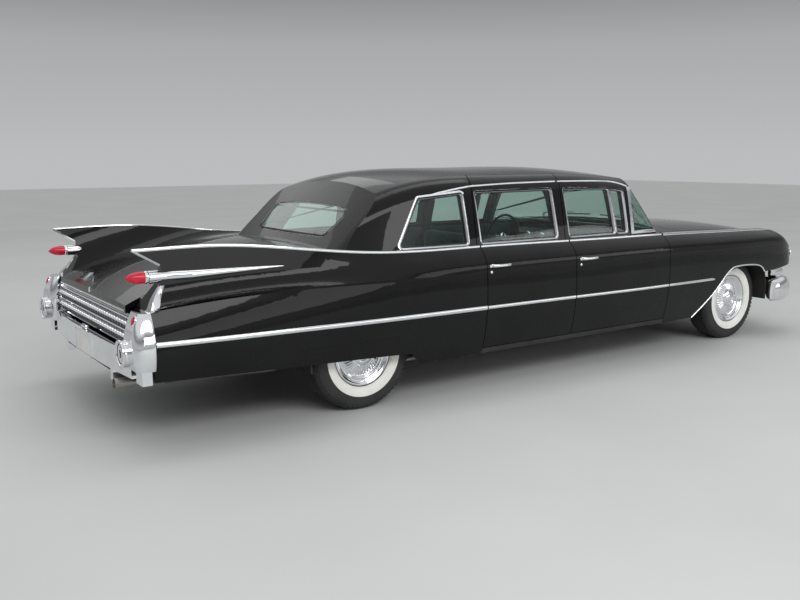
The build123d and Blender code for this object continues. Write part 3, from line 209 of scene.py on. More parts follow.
LACQUER, DUST = (0.003, 0.003, 0.0035), 0.0028
PAINT = coat("black_lacquer", LACQUER, [c + DUST for c in LACQUER], (0.2, 0.34), (3.2, 5.0),
    (0.35, 0.75), (9.0, 6.0), (160.0, 2.0, 0.03, 0.0004), Specular_IOR_Level=0.05,
    Coat_Weight=0.65, Coat_IOR=1.36, Coat_Roughness=0.025)
CHROME = metal("bright_chrome", (0.86, 0.87, 0.89), 0.03, 0.09)
ANODISED = metal("window_bright_metal", (0.74, 0.75, 0.77), 0.16, 0.28, stretch=(1, 1, 6))
GRILLE_BACK = metal("dark_grille_metal", (0.1, 0.1, 0.105), 0.3, 0.5)
TINTED = pane("green_tinted_glass", (0.72, 0.88, 0.82), 0.0, 0.02)
CLEAR_LENS = pane("clear_lamp_lens", (0.93, 0.94, 0.93), 0.04, 0.1)
LAMP_FACE = pane("silvered_lamp_glass", (0.8, 0.82, 0.83), 0.06, 0.12, 0.3)
RED_LENS = pane("red_lamp_lens", (0.72, 0.018, 0.05), 0.08, 0.13, 0.25)
STEEL = metal("dull_pipe_steel", (0.36, 0.34, 0.32), 0.35, 0.6, 22.0)
print("bright finishes", [m.name for m in bpy.data.materials])


# %% Rubber, castings, cloth and trim
def matt(name, dark, light, low, high, scale, grain, depth):
    """A matt or satin surface with blotchy colour and a fine grain."""
    return coat(name, dark, light, (low, high), (scale, 6.0), (0.3, 0.72),
        relief=(grain, 3.0, depth, 0.001))


def woven(name, dark, light, threads):
    """Cloth: two crossed sets of threads are worked into the colour and the relief."""
    material, tree, shader = new_finish(name)
    own = add_node(tree, "ShaderNodeTexCoord").outputs["Object"]
    warp, weft = [add_node(tree, "ShaderNodeTexWave", bands_direction=way, Vector=own,
        Scale=threads, Distortion=0.6).outputs["Fac"] for way in "XY"]
    weave = add_node(tree, "ShaderNodeMath", operation="MULTIPLY", _0=warp, _1=weft).outputs[0]
    blotch = add_node(tree, "ShaderNodeMath", operation="ADD", _0=weave,
        _1=noise(tree, 7.0, 5.0)).outputs[0]
    tint(tree, shader, blotch, (0.35, 1.1), dark, light)
    shader.inputs["Roughness"].default_value = 0.85
    shader.inputs["Sheen Weight"].default_value = 0.35
    bump(tree, shader, weave, 0.35, 0.001)
    return material


RUBBER = matt("tyre_rubber", (0.014, 0.014, 0.015), (0.03, 0.03, 0.03), 0.55, 0.8, 9.0, 260.0,
    0.2)
WHITEWALL = matt("whitewall_rubber", (0.74, 0.73, 0.69), (0.86, 0.86, 0.83), 0.45, 0.6, 12.0,
    200.0, 0.1)
UNDERSEAL = matt("chassis_black", (0.012, 0.012, 0.012), (0.03, 0.028, 0.026), 0.55, 0.85, 6.0,
    120.0, 0.25)
IRON = matt("engine_enamel", (0.03, 0.045, 0.07), (0.05, 0.07, 0.1), 0.4, 0.65, 10.0, 140.0,
    0.25)
SEAT_CLOTH = woven("seat_cloth", (0.03, 0.09, 0.1), (0.1, 0.22, 0.24), 260.0)
CARPET = matt("dark_carpet", (0.012, 0.03, 0.034), (0.03, 0.06, 0.065), 0.85, 1.0, 30.0, 700.0,
    0.8)
LINING = woven("roof_lining_cloth", (0.2, 0.27, 0.27), (0.34, 0.42, 0.41), 300.0)
DASH = matt("dash_vinyl", (0.012, 0.022, 0.026), (0.025, 0.04, 0.045), 0.4, 0.6, 18.0, 500.0,
    0.5)
BLACK_PLASTIC = matt("black_rim_plastic", (0.01, 0.01, 0.011), (0.02, 0.02, 0.021), 0.25, 0.4,
    18.0, 300.0, 0.1)
SEAL = matt("window_seal_rubber", (0.01, 0.01, 0.01), (0.02, 0.02, 0.02), 0.6, 0.8, 20.0,
    300.0, 0.2)
print("finishes", len(bpy.data.materials))

# %% The nodes' own finishes
NODE_FINISH = {
    ANODISED: "windshield_posts",
    PAINT: "front_fender hood cowl nose_panel roof rear_slope front_door rear_door "
           "quarter_panel fender_skirt deck_panel trunk_lid",
    TINTED: "front_door_glass rear_door_glass windshield rear_window quarter_glass",
    CHROME: "lamp_spear rear_bumper front_bumper front_grille wheel tail_panel",
    RED_LENS: "tail_lamps",
    LAMP_FACE: "headlamps",
    UNDERSEAL: "chassis_frame floor_pan rear_floor center_pillars rear_axle front_suspension "
               "knuckle fuel_tank",
    IRON: "engine_block",
    STEEL: "exhaust",
    RUBBER: "tyre",
    SEAT_CLOTH: "front_seat rear_seat",
    DASH: "dashboard steering_wheel",
}
finish_of = {stem: material for material, stems in NODE_FINISH.items()
    for stem in stems.split()}
for name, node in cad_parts.items():
    stem = name[:-2] if name[-2:] in ("_l", "_r") else name
    stem = stem.split("_")[0] if stem.startswith(("tyre", "wheel")) else stem
    node.data.materials.clear()
    node.data.materials.append(finish_of[stem])
print("nodes finished", len(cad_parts))

# %% [markdown]
# ## Shapes from rings
# Most trim is a skin over rings of points: a strip on a panel, a turned rim, a bar or a box. A
# run is a list of rings and whether it closes on itself. One helper makes all meshes, so doubles
# are merged and faces look outwards everywhere.

# %% Pieces from runs
MERGE = 1e-5
PIECES = []


def finish(obj, material, body=ROOT, replaces=(), smooth=35):
    """Give a piece its material, its smooth faces, its body and the nodes it stands for."""
    if material:
        obj.data.materials.clear()
        obj.data.materials.append(material)
    obj.data.shade_smooth()
    obj.data.set_sharp_from_angle(angle=math.radians(smooth))
    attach(obj, body)
    if replaces:
        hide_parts(*replaces)
    PIECES.append(obj)
    return obj


def runs_mesh(name, runs):
    """Skins over runs of rings in millimetres, as one mesh with its faces outwards."""
    verts, faces = [], []
    for rings, close in runs:
        start, count, size = len(verts), len(rings), len(rings[0])
        verts += [Vector(point) * MM for ring in rings for point in ring]
        for i in range(count if close else count - 1):
            a, b = start + i * size, start + (i + 1) % count * size
            faces += [(a + k, a + (k + 1) % size, b + (k + 1) % size, b + k)
                for k in range(size)]
        if not close:
            faces += [tuple(first + k for k in range(size))
                for first in (start, start + (count - 1) * size)]
    mesh = bpy.data.meshes.new(name)
    mesh.from_pydata(verts, [], faces)
    work = bmesh.new()
    work.from_mesh(mesh)
    bmesh.ops.remove_doubles(work, verts=work.verts, dist=MERGE)
    bmesh.ops.recalc_face_normals(work, faces=work.faces)
    work.to_mesh(mesh)
    work.free()
    return place(name, mesh)


def piece(name, runs, material=CHROME, body=ROOT, replaces=(), smooth=35):
    return finish(runs_mesh(name, runs), material, body, replaces, smooth)


def both(name, build, material=CHROME, body=ROOT, replaces=()):
    """A piece on each side. {} in a body's or node's name takes the side's letter."""
    for side, tail in SIDES:
        piece(f"{name}_{tail}", build(side), material, body.format(tail),
            replaces=[node.format(tail) for node in replaces])


print("pieces ride", ROOT, "unless told otherwise")


# %% Boxes, bars, turned forms and strips
def flip(v, side):
    return Vector((v.x, v.y * side, v.z))


def circle(count):
    return [2 * math.pi * k / count for k in range(count)]


def box(x, y, z):
    """A box between two values each of x, y and z."""
    return [[(end, y[0], z[0]), (end, y[1], z[0]), (end, y[1], z[1]), (end, y[0], z[1])]
        for end in x], False


def tube(points, radius, sides=12, flat=1.0):
    """A round or oval bar along a path, with one radius or one at each point."""
    points = [Vector(p) for p in points]
    last = len(points) - 1
    rings = []
    for i, p in enumerate(points):
        along = (points[min(i + 1, last)] - points[max(i - 1, 0)]).normalized()
        guide = Vector((0, 0, 1)) if abs(along.z) < 0.9 else Vector((1, 0, 0))
        across = along.cross(guide).normalized()
        over = across.cross(along)
        r = radius[i] if isinstance(radius, (list, tuple)) else radius
        rings.append([p + across * (r * math.cos(turn)) + over * (r * flat * math.sin(turn))
            for turn in circle(sides)])
    return rings, False


def spin(start, axis, profile, segments=48):
    """A closed (along, radius) section spun round any axis."""
    start, axis = Vector(start), Vector(axis).normalized()
    guide = Vector((0, 0, 1)) if abs(axis.z) < 0.9 else Vector((0, 1, 0))
    across = axis.cross(guide).normalized()
    over = axis.cross(across)
    rings = []
    for turn in circle(segments):
        reach = across * math.cos(turn) + over * math.sin(turn)
        rings.append([start + axis * a + reach * r for a, r in profile])
    return rings, True


def strip(places, section, close=False):
    """Carry an (across, out) section along places: point, normal and maybe a scale."""
    rings, count = [], len(places)
    for i, (point, normal, *scale) in enumerate(places):
        ahead = places[(i + 1) % count][0] if close or i + 1 < count else point
        behind = places[i - 1][0] if close or i else point
        along = (ahead - behind).normalized()
        across = normal.cross(along).normalized()
        out = along.cross(across)
        size = scale[0] if scale else 1.0
        rings.append([point + across * (u * size) + out * (v * size) for u, v in section])
    return rings, close


print("shapes:", ", ".join(f.__name__ for f in (box, tube, spin, strip)))

# %% [markdown]
# ## Laying trim on the body
# Bright strips follow the panels. A ray is cast at the panels to find where their surface is,
# and a small cross-section is carried along the found points. Each strip stops at the shut
# lines, so that the part of it on a door swings with the door.

# %% Rays at the panels, from places well clear of the car
BESIDE, ABOVE, BEHIND, AHEAD = 1300, 1800, -3500, 3400
LEFT_PANELS = ("front_fender_l front_door_l rear_door_l quarter_panel_l hood nose_panel cowl "
    "deck_panel trunk_lid roof rear_slope fender_skirt_l")


def tree_of(names):
    """One search tree over several nodes' faces."""
    verts, faces = [], []
    for name in names.split():
        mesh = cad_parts[name].data
        start = len(verts)
        verts += [v.co.copy() for v in mesh.vertices]
        faces += [[start + k for k in face.vertices] for face in mesh.polygons]
    return BVHTree.FromPolygons(verts, faces)


def cast(tree, origin, direction):
    """Where a ray first meets a surface, in millimetres, and the surface's direction there."""
    hit, normal, _, _ = tree.ray_cast(Vector(origin) * MM, Vector(direction).normalized())
    return (None, None) if hit is None else (hit / MM, normal)


PANELS = tree_of(LEFT_PANELS)


def on_side(x, z):
    return cast(PANELS, (x, BESIDE, z), (0, -1, 0))


print("side at the middle", on_side(0, 587)[0])


# %% Smooth lines and side strips
POINTED = 0.08


def smooth_line(points, step=25.0):
    """Points along a smooth curve through the given ones, about a step apart."""
    points = [Vector(p) for p in points]
    out = []
    for i in range(len(points) - 1):
        a, b, c = points[max(i - 1, 0)], points[i], points[i + 1]
        d = points[min(i + 2, len(points) - 1)]
        parts = max(1, round((c - b).length / step))
        for t in [k / parts for k in range(parts)]:
            out.append(0.5 * (2 * b + (c - a) * t + (2 * a - 5 * b + 4 * c - d) * t * t
                + (3 * b - a - 3 * c + d) * t ** 3))
    return out + [points[-1]]


def half_round(half, rise, sink=1.5, steps=8):
    """A strip's domed cross-section with its foot a little below the paint."""
    arc = [(-half * math.cos(math.pi * k / steps), rise * math.sin(math.pi * k / steps))
        for k in range(steps + 1)]
    return [(-half, -sink)] + arc + [(half, -sink)]


def side_strip(name, points, half, rise, body=ROOT, taper=(0, 0), step=40.0):
    """A strip on the car's sides through (x, z) points, narrowing over taper millimetres."""
    line = smooth_line([(x, 0, z) for x, z in points], step)
    found = [spot for spot in (on_side(p.x, p.z) for p in line) if spot[0] is not None]
    runs = [0.0]
    for (a, _), (b, _) in zip(found, found[1:]):
        runs.append(runs[-1] + (b - a).length)
    places = []
    for (point, normal), run in zip(found, runs):
        ends = [POINTED + (1 - POINTED) * reach / length
            for reach, length in zip((run, runs[-1] - run), taper) if length]
        places.append((point, normal, min([1.0] + ends)))
    both(name, lambda side: [strip([(flip(p, side), flip(n, side), s) for p, n, s in places],
        half_round(half, rise))], body=body)


side_strip("quarter_strip", [(-2949, 610), (-2500, 604), (-2101, 600), (-1394, 591),
    (-694, 587)], 15, 8)
side_strip("rear_door_strip", [(-685, 587), (-300, 585), (4, 583), (145, 582)], 12, 7,
    "rear_door_{}")
side_strip("front_door_strip", [(155, 582), (500, 579), (867, 576), (1195, 576)], 11, 6.5,
    "front_door_{}")
side_strip("fender_strip", [(1205, 576), (1500, 576), (1800, 577)], 10.5, 6, taper=(0, 25))
side_strip("drip_rail_rear", [(-1017, 1335), (-824, 1367), (-653, 1388)], 7, 8, taper=(60, 0),
    step=30)
side_strip("drip_rail_rear_door", [(-653, 1388), (-300, 1400), (147, 1406)], 7, 8,
    "rear_door_{}", step=30)
side_strip("drip_rail_front_door", [(163, 1406), (500, 1403), (735, 1395), (855, 1378),
    (935, 1355)], 7, 8, "front_door_{}", step=30)
print("side strips and drip rails", len(PIECES))

# %% [markdown]
# ## Fin and belt moulding
# One bright line runs from the tip of each fin, down the belt under the windows, and along the
# top of the front fender to a lance point. It caps the ridge, so its section is a shallow
# channel turned over the edge, and each length of it belongs to the panel that it sits on.

# %% Ridge caps
RIDGE = ((-3009, 841), (-2860, 848), (-2500, 862), (-2000, 886), (-1500, 904), (-700, 912),
    (500, 912), (1450, 902), (2200, 890), (2720, 868))
CAP_SECTION = ((-13, -2), (-12, 3), (-8, 5), (0, 5.5), (6, 4), (8.5, -1), (8.5, -9), (6.5, -12),
    (4, -10), (4, -3))
CAP_STEP, CAP_LEAST = 45, 0.05
RIDGE_INSET, RIDGE_DROP, CAP_INSET = 8, 6, 4


def ridge_at(x):
    """The outer top edge of the wing at x."""
    width = next(va + (vb - va) * (x - xa) / (xb - xa)
        for (xa, va), (xb, vb) in zip(RIDGE, RIDGE[1:]) if xa <= x <= xb)
    top, _ = cast(PANELS, (x, width - RIDGE_INSET, ABOVE), (0, 0, -1))
    outer, _ = on_side(x, top.z - RIDGE_DROP)
    edge = outer.y if outer is not None else width
    return Vector((x, edge - CAP_INSET, top.z))


def ridge_cap(name, start, end, body=ROOT, point=None, size=1.0):
    """A cap along the ridge, which may narrow to a point."""
    steps = max(4, round((end - start) / CAP_STEP))
    places = [ridge_at(start + (end - start) * k / steps) for k in range(steps + 1)]

    def build(side):
        rings = []
        for p in places:
            scale = size * (max(CAP_LEAST, min(1.0, (end - p.x) / point)) if point else 1.0)
            rings.append([(p.x, (p.y + u * scale) * side, p.z + v * scale)
                for u, v in CAP_SECTION])
        return [(rings, False)]

    both(name, build, body=body)


ridge_cap("fin_cap", -3006, -688)
ridge_cap("rear_door_cap", -675, 150, "rear_door_{}")
ridge_cap("front_door_cap", 163, 1195, "front_door_{}")
ridge_cap("fender_cap", 1205, 2716, point=160, size=1.6)
print("ridge caps", len(PIECES))

# %% Arch edges and the fins' trailing edges
ARCH = [(1576, 263), (1792, 440), (1984, 622), (2139, 660), (2421, 644), (2521, 582)]
FIN_EDGE = [(-3007, 1101), (-2975, 1081), (-2920, 1048), (-2866, 1016)]
FIN_EDGE_SECTION = [(-7, -11), (7, -11), (8, 0), (6, 9), (-6, 9), (-8, 0)]
BLADE_TOP, BLADE_STEPS = (-2868, 908), 8


def arch_edge(side):
    """A rolled bright edge round the front wheel opening."""
    line = smooth_line([(x, 0, z) for x, z in ARCH], 30)
    places = []
    for k, p in enumerate(line):
        run = (line[min(k + 1, len(line) - 1)] - line[max(k - 1, 0)]).normalized()
        out = Vector((-run.z, 0, run.x))
        hit, normal = on_side(p.x + out.x * 9, p.z + out.z * 9)
        if hit is not None:
            places.append((flip(hit - out * 6, side), flip(normal, side)))
    return [strip(places, half_round(7, 6, 4))]


def fin_edge(side):
    """The bright slanting edge at the back of the fin."""
    places = [(Vector((x + 1, (on_side(x + 25, z)[0].y - 8) * side, z)), Vector((0, side, 0)))
        for x, z in FIN_EDGE]
    return [strip(places, FIN_EDGE_SECTION)]


def tail_blade(side):
    """The bright blade that slants down from the spear to the bumper's pod."""
    rings = []
    for t in [k / BLADE_STEPS for k in range(BLADE_STEPS + 1)]:
        x, z = BLADE_TOP[0] - 92 * t, BLADE_TOP[1] - 132 * t
        hit, _ = on_side(x + 30, z)
        y = hit.y if hit is not None else 930
        width, foot = 14 + 26 * t, -16 - 50 * t
        rings.append([(x + a, (y + b) * side, z)
            for a, b in ((width + 8, -1), (width, 5), (4, 8), (-7, 3), (-9, foot), (0, foot - 4))])
    return [(rings, False)]


for build in (arch_edge, fin_edge, tail_blade):
    both(build.__name__, build)
print("edges", len(PIECES))

# %% [markdown]
# ## Frames round the glass
# The side panes and the windscreen have a bright reveal, and the rear window only rubber.
# Rather than repeat each outline, the rim of the pane's own outer face is walked, and a small
# section is carried round it. A thin rubber seal sits inside it.


# %% Walking a pane's rim
# How nearly an edge goes through the pane, how far its faces fold in radians, and how many
# points make a rim. Then how far apart two panes are, and how far in the glass is felt for.
THROUGH, FOLD, RIM_POINTS, PANE_GAP, FEEL_IN = 0.8, 0.9, 8, 60, 0.05
CABIN_MIDDLE = Vector((-100, 0, 1000))


def all_rims(node, through):
    """Every closed run of sharp edges on a node, less those that go through a flat pane."""
    work = bmesh.new()
    work.from_mesh(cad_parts[node].data)
    bmesh.ops.remove_doubles(work, verts=work.verts, dist=MERGE)
    sharp = {}
    for edge in work.edges:
        a, b = edge.verts
        if through and abs((a.co - b.co).normalized().dot(through)) > THROUGH:
            continue
        if len(edge.link_faces) == 2 and edge.calc_face_angle(0) > FOLD:
            for vert in edge.verts:
                sharp.setdefault(vert, []).append(edge)
    rims, used = [], set()
    for first in sharp:
        if first in used:
            continue
        loop, vert, edge = [], first, None
        while vert not in used:
            used.add(vert)
            loop.append(vert.co / MM)
            following = [e for e in sharp[vert] if e is not edge]
            if not following:
                break
            edge = following[0]
            vert = edge.other_vert(vert)
        if len(loop) > RIM_POINTS:
            rims.append(loop)
    work.free()
    return rims


def middle_of(points):
    return Vector([(min(p[i] for p in points) + max(p[i] for p in points)) / 2
        for i in range(3)])


def outer_rims(node, outwards):
    """One rim for each pane: of two that lie face to face, the one further along outwards."""
    kept = []
    through = outwards if outwards.x == 0 else None
    for rim in sorted(all_rims(node, through), key=lambda r: -middle_of(r).dot(outwards)):
        centre = middle_of(rim)
        apart = all((centre - middle_of(other)).length > PANE_GAP for other in kept)
        if centre.dot(outwards) >= 0 and apart:
            kept.append(rim)
    return kept


def rim_places(node, rim):
    """The rim's points with the glass's outward direction, walked so that across is away."""
    tree, centre = tree_of(node), middle_of(rim)
    places = []
    for point in rim:
        _, normal, _, _ = tree.find_nearest(point.lerp(centre, FEEL_IN) * MM)
        if normal.dot(point - CABIN_MIDDLE) < 0:
            normal = -normal
        places.append((point, normal))
    (first, normal), (second, _) = places[:2]
    if normal.cross(second - first).dot(first - centre) < 0:
        places.reverse()
    return places


print("rims of the rear window", len(all_rims("rear_window", None)))

# %% The frames and seals
SIDE_FRAME = ((-8, -0.5), (-8, 3.5), (-5, 8), (-1, 14), (8, 15), (9.5, 12.6), (1.5, 12),
    (0.3, -0.5))
SCREEN_FRAME = ((-15, -0.5), (-15, 3), (-8, 8), (4, 9), (11, 6), (11, 3.6), (1, 3), (0.3, -0.5))
SEAL_SECTION = ((-13, -0.4), (-13, 1.4), (-7, 2.2), (-7, -0.4))
SCREEN_SEAL = ((-21, -0.4), (-21, 1.2), (-14, 2.0), (-14, -0.4))


def frame_glass(node, outwards, body=ROOT, reveal=SIDE_FRAME, seal=SEAL_SECTION,
                material=ANODISED, tail=""):
    """A reveal and a rubber seal round every pane of a node that faces outwards."""
    rims = [rim_places(node, rim) for rim in outer_rims(node, outwards)]
    piece(f"{node}_frame{tail}", [strip(rim, reveal, True) for rim in rims], material, body)
    piece(f"{node}_seal{tail}", [strip(rim, seal, True) for rim in rims], SEAL, body)
    print(node, "panes framed", len(rims))


for side, tail in SIDES:
    out = Vector((0, side, 0))
    for door in ("front_door", "rear_door"):
        frame_glass(f"{door}_glass_{tail}", out, f"{door}_{tail}")
    frame_glass("quarter_glass", out, tail=f"_{tail}")
frame_glass("windshield", Vector((1, 0, 0.3)), ROOT, SCREEN_FRAME, SCREEN_SEAL)
frame_glass("rear_window", Vector((-1, 0, 0.3)), ROOT, SEAL_SECTION, SCREEN_SEAL, SEAL)


# %% The bright edge behind and over the quarter window, on the pillar's own skin
REVEAL_OUT, REVEAL_FOOT_Z, REVEAL_END_X = 15, 1008, -745


def quarter_reveal(side):
    """Follow the pane's rim, a little outside it, where the rim looks backwards or up."""
    rim = rim_places("quarter_glass", outer_rims("quarter_glass", Vector((0, 1, 0)))[0])
    found = []
    for i, (point, normal) in enumerate(rim):
        along = (rim[(i + 1) % len(rim)][0] - rim[i - 1][0]).normalized()
        away = normal.cross(along).normalized()
        spot = point + away * REVEAL_OUT
        hit, skin = on_side(spot.x, spot.z)
        wanted = ((away.x < -0.15 or away.z > 0.3) and point.z > REVEAL_FOOT_Z
            and point.x < REVEAL_END_X and hit is not None and skin.y > 0.2)
        found.append((hit, skin) if wanted else None)
    start = next(i for i, spot in enumerate(found) if spot and not found[i - 1])
    run = []
    for spot in found[start:] + found[:start]:
        if not spot:
            break
        run.append([flip(v, side) for v in spot])
    return [strip(run, half_round(8, 7))]


both("quarter_reveal", quarter_reveal)
print("window trim", len(PIECES))

# %% [markdown]
# ## Wheels and tyres
# A wheel is a turned form, so its section is spun round the axle. The tyre's sidewall swells
# out past the rim and carries the broad white band of its time. The full cover is stepped in
# rings round a fluted well, and its fine ridges are what makes it glitter. The shoulder lugs
# repeat, so Geometry Nodes copies one of each round the wheel.


# %% Copies by Geometry Nodes
def copies_group():
    """Node group: copies of a shape, each moved by a step and turned from the last."""
    group = bpy.data.node_groups.new("even_copies", "GeometryNodeTree")
    face = group.interface
    for title, kind in (("Geometry", "Geometry"), ("Count", "Int"), ("Step", "Vector"),
                        ("Turn", "Vector"), ("Material", "Material")):
        face.new_socket(name=title, in_out="INPUT", socket_type="NodeSocket" + kind)
    face.new_socket(name="Geometry", in_out="OUTPUT", socket_type="NodeSocketGeometry")
    given = group.nodes.new("NodeGroupInput").outputs
    index = add_node(group, "GeometryNodeInputIndex").outputs[0]
    line = add_node(group, "GeometryNodeMeshLine", Count=given["Count"], Offset=(0, 0, 0))
    shift, turn = [add_node(group, "ShaderNodeVectorMath", operation="SCALE", _0=given[title],
        Scale=index).outputs[0] for title in ("Step", "Turn")]
    spots = add_node(group, "GeometryNodeSetPosition", Geometry=line.outputs[0], Offset=shift)
    copies = add_node(group, "GeometryNodeInstanceOnPoints", Points=spots.outputs[0],
        Instance=given["Geometry"], Rotation=turn)
    real = add_node(group, "GeometryNodeRealizeInstances", Geometry=copies.outputs[0])
    paint = add_node(group, "GeometryNodeSetMaterial", Geometry=real.outputs[0],
        Material=given["Material"])
    add_node(group, "NodeGroupOutput", _0=paint.outputs[0])
    return group


EVEN_COPIES = copies_group()
SOCKETS = {item.name: item.identifier for item in EVEN_COPIES.interface.items_tree
    if item.in_out == "INPUT"}


def settle(obj, modifier):
    """Make an object's form under its modifier its own plain mesh."""
    seen = obj.evaluated_get(bpy.context.evaluated_depsgraph_get())
    mesh = bpy.data.meshes.new_from_object(seen)
    obj.modifiers.remove(modifier)
    obj.data = mesh


def copied(name, runs, count, material=CHROME, body=ROOT, step=(0, 0, 0), turn=(0, 0, 0),
           centre=(0, 0, 0)):
    """A piece of even copies of a shape, moved to its centre at the end."""
    obj = runs_mesh(name, runs)
    modifier = obj.modifiers.new("even_copies", "NODES")
    modifier.node_group = EVEN_COPIES
    for title, value in (("Count", count), ("Step", [v * MM for v in step]), ("Turn", turn),
                         ("Material", material)):
        modifier[SOCKETS[title]] = value
    obj.data.materials.append(material)
    settle(obj, modifier)
    obj.data.transform(Matrix.Translation(Vector(centre) * MM))
    return finish(obj, None, body)


print("inputs of the copies", list(SOCKETS))

# %% The sections of tyre, wall, rim and cover, as radius and outward offset
AXLES = (("front", 2220.0), ("rear", -1584.0))
TRACK, AXLE_Z = 774.5, 355.0
SEGMENTS, RIM_SEGMENTS, LUGS, FLUTES = 144, 72, 60, 36
GROOVES = [(r, w + d) for w in (-48, -17, 17, 48)
    for d, r in ((-4, 355), (-3, 348), (3, 348), (4, 355))]
BAND_STEP = (274, 102.5)
WALL = [(196, 70), (196, 74), (203, 82), (212, 94), (226, 101), (248, 104), (272, 104),
    BAND_STEP, (300, 102), (322, 96), (336, 90), (345, 82), (352, 74), (355, 66)]
TYRE = WALL + GROOVES[::-1] + [(r, -w) for r, w in reversed(WALL) if (r, w) != BAND_STEP]
WHITE_BAND = [(204.5, 83.6), (212, 95), (226, 102.2), (248, 105.3), (268, 105.3), (270, 103),
    (248, 103), (226, 100), (212, 92), (205, 81)]
COVER = [(0, 99), (18, 98.6), (30, 96.5), (36, 93), (38, 94.5), (44, 94.5), (46, 92), (60, 89),
    (68, 85), (70, 87), (76, 87), (79, 83), (88, 78), (120, 66), (132, 63), (138, 62),
    (140, 65), (146, 65.5), (149, 63), (156, 66), (158, 70), (164, 71), (167, 69),
    (174, 73), (177, 78), (184, 81), (188, 85.5), (194, 88), (200, 87), (203, 83),
    (201, 79), (190, 76), (150, 56), (80, 60), (0, 70)]
RIM = [(0, 56), (150, 52), (186, 70), (195.5, 74), (199, 78), (203.5, 78), (203.5, 70),
    (195.5, 66), (190, 40), (180, 28), (180, -28), (190, -46), (195.5, -66), (203.5, -70),
    (203.5, -78), (195.5, -74), (184, -60), (174, -30), (172, 20), (160, 34), (100, 30),
    (62, 46), (60, -18), (30, -18), (30, 50), (0, 50)]
LUG_FOOT = ((-7, 79, 345.5), (7, 79, 345.5), (7, 94, 331), (-7, 94, 331))


def zigzag(r, w, k):
    """Tread grooves wander from side to side, as period treads did."""
    return (2.2 if k % 4 < 2 else -2.2) if r > 346 and abs(w) < 60 else 0.0


def fluted(r, w, k):
    """Radial flutes pressed into the cover's well."""
    return 5.0 * abs(math.sin(math.pi * k / 4)) if 86 < r < 134 and w >= 60 else 0.0


def plain(r, w, k):
    return 0.0


def lug_pair():
    """Two shoulder lugs where the first copy stands, above the axle."""
    feet = [[(x, side * y, z) for x, y, z in LUG_FOOT] for side, _ in SIDES]
    return [([foot, [(x, y + side * 3.5, z + 3.5) for x, y, z in foot]], False)
        for foot, (side, _) in zip(feet, SIDES)]


for axle, x in AXLES:
    for side, tail in SIDES:
        end, body = f"{axle}_{tail}", f"{axle}_wheel_{tail}"

        def spun(name, profile, segments, wave, material, replaces=(), smooth=35):
            """Spin a closed section round this wheel's axle."""
            rings = [[(x + r * math.cos(turn), side * (TRACK + w + wave(r, w, k)),
                AXLE_Z + r * math.sin(turn)) for r, w in profile]
                for k, turn in enumerate(circle(segments))]
            piece(f"{name}_{end}", [(rings, True)], material, body, replaces=replaces,
                smooth=smooth)

        spun("tyre_case", TYRE, SEGMENTS, zigzag, RUBBER, (f"tyre_{end}",))
        spun("white_band", WHITE_BAND, SEGMENTS, plain, WHITEWALL)
        spun("cover", COVER, 4 * FLUTES, fluted, CHROME, (f"wheel_{end}",), 28)
        spun("rim", RIM, RIM_SEGMENTS, plain, UNDERSEAL)
        copied(f"shoulder_lugs_{end}", lug_pair(), LUGS, RUBBER, body,
            turn=(0, 2 * math.pi / LUGS, 0), centre=(x, side * TRACK, AXLE_Z))
print("wheels dressed", len(AXLES) * len(SIDES))

# %% [markdown]
# ## The tail
# The tail is the car's showpiece: red cones at the ends of long bright spears, a moulding along
# the lid's lip, a plain plate place let into the bumper, and round lamps in the tall end pods.

# %% The lid's moulding and lock, and the bright spears that the lamps end in
LID, BUMPER = tree_of("trunk_lid"), tree_of("rear_bumper")
BACK = (-1, 0, 0)
LIP_HALF, LIP_Z, LIP_STEPS = 684, 757, 36
LOCK_AT = (-3008, 0, 790)
LOCK = [(0, 0), (0, 17), (5, 17), (7, 14), (7, 9), (5, 8), (5, 2), (5.5, 0)]
SPEAR_TAIL, SPEAR_STEPS, CONE_Y = (-2928, 952), 24, 832


def from_behind(tree, y, z):
    return cast(tree, (BEHIND, y, z), (1, 0, 0))


def spear(side):
    """A long tapering spear that lies half out of the fin's side."""
    rings = []
    for t in [k / SPEAR_STEPS for k in range(SPEAR_STEPS + 1)]:
        x, z = SPEAR_TAIL[0] + 786 * t, SPEAR_TAIL[1] + 13 * t
        skin, _ = on_side(x, z)
        inwards = min(1, max(0, t - 0.1) / 0.2)
        y = CONE_Y + (skin.y - 2 - CONE_Y) * inwards if skin else CONE_Y
        out, up = 3 + 40 * (1 - t) ** 1.1, 2 + 34 * (1 - t) ** 0.8
        rings.append([(x, side * (y + out * math.cos(turn)), z + up * math.sin(turn))
            for turn in circle(32)])
    return [(rings, False)]


lip = [from_behind(LID, -LIP_HALF + 2 * LIP_HALF * k / LIP_STEPS, LIP_Z)
    for k in range(LIP_STEPS + 1)]
piece("lid_edge_moulding", [strip([spot for spot in lip if spot[0] is not None],
    half_round(7, 6))], body="trunk_lid")
piece("lid_lock", [spin(LOCK_AT, BACK, LOCK, 32)], body="trunk_lid")
both("spear", spear, replaces=("lamp_spear_{}",))
print("spears and lid", len(PIECES))

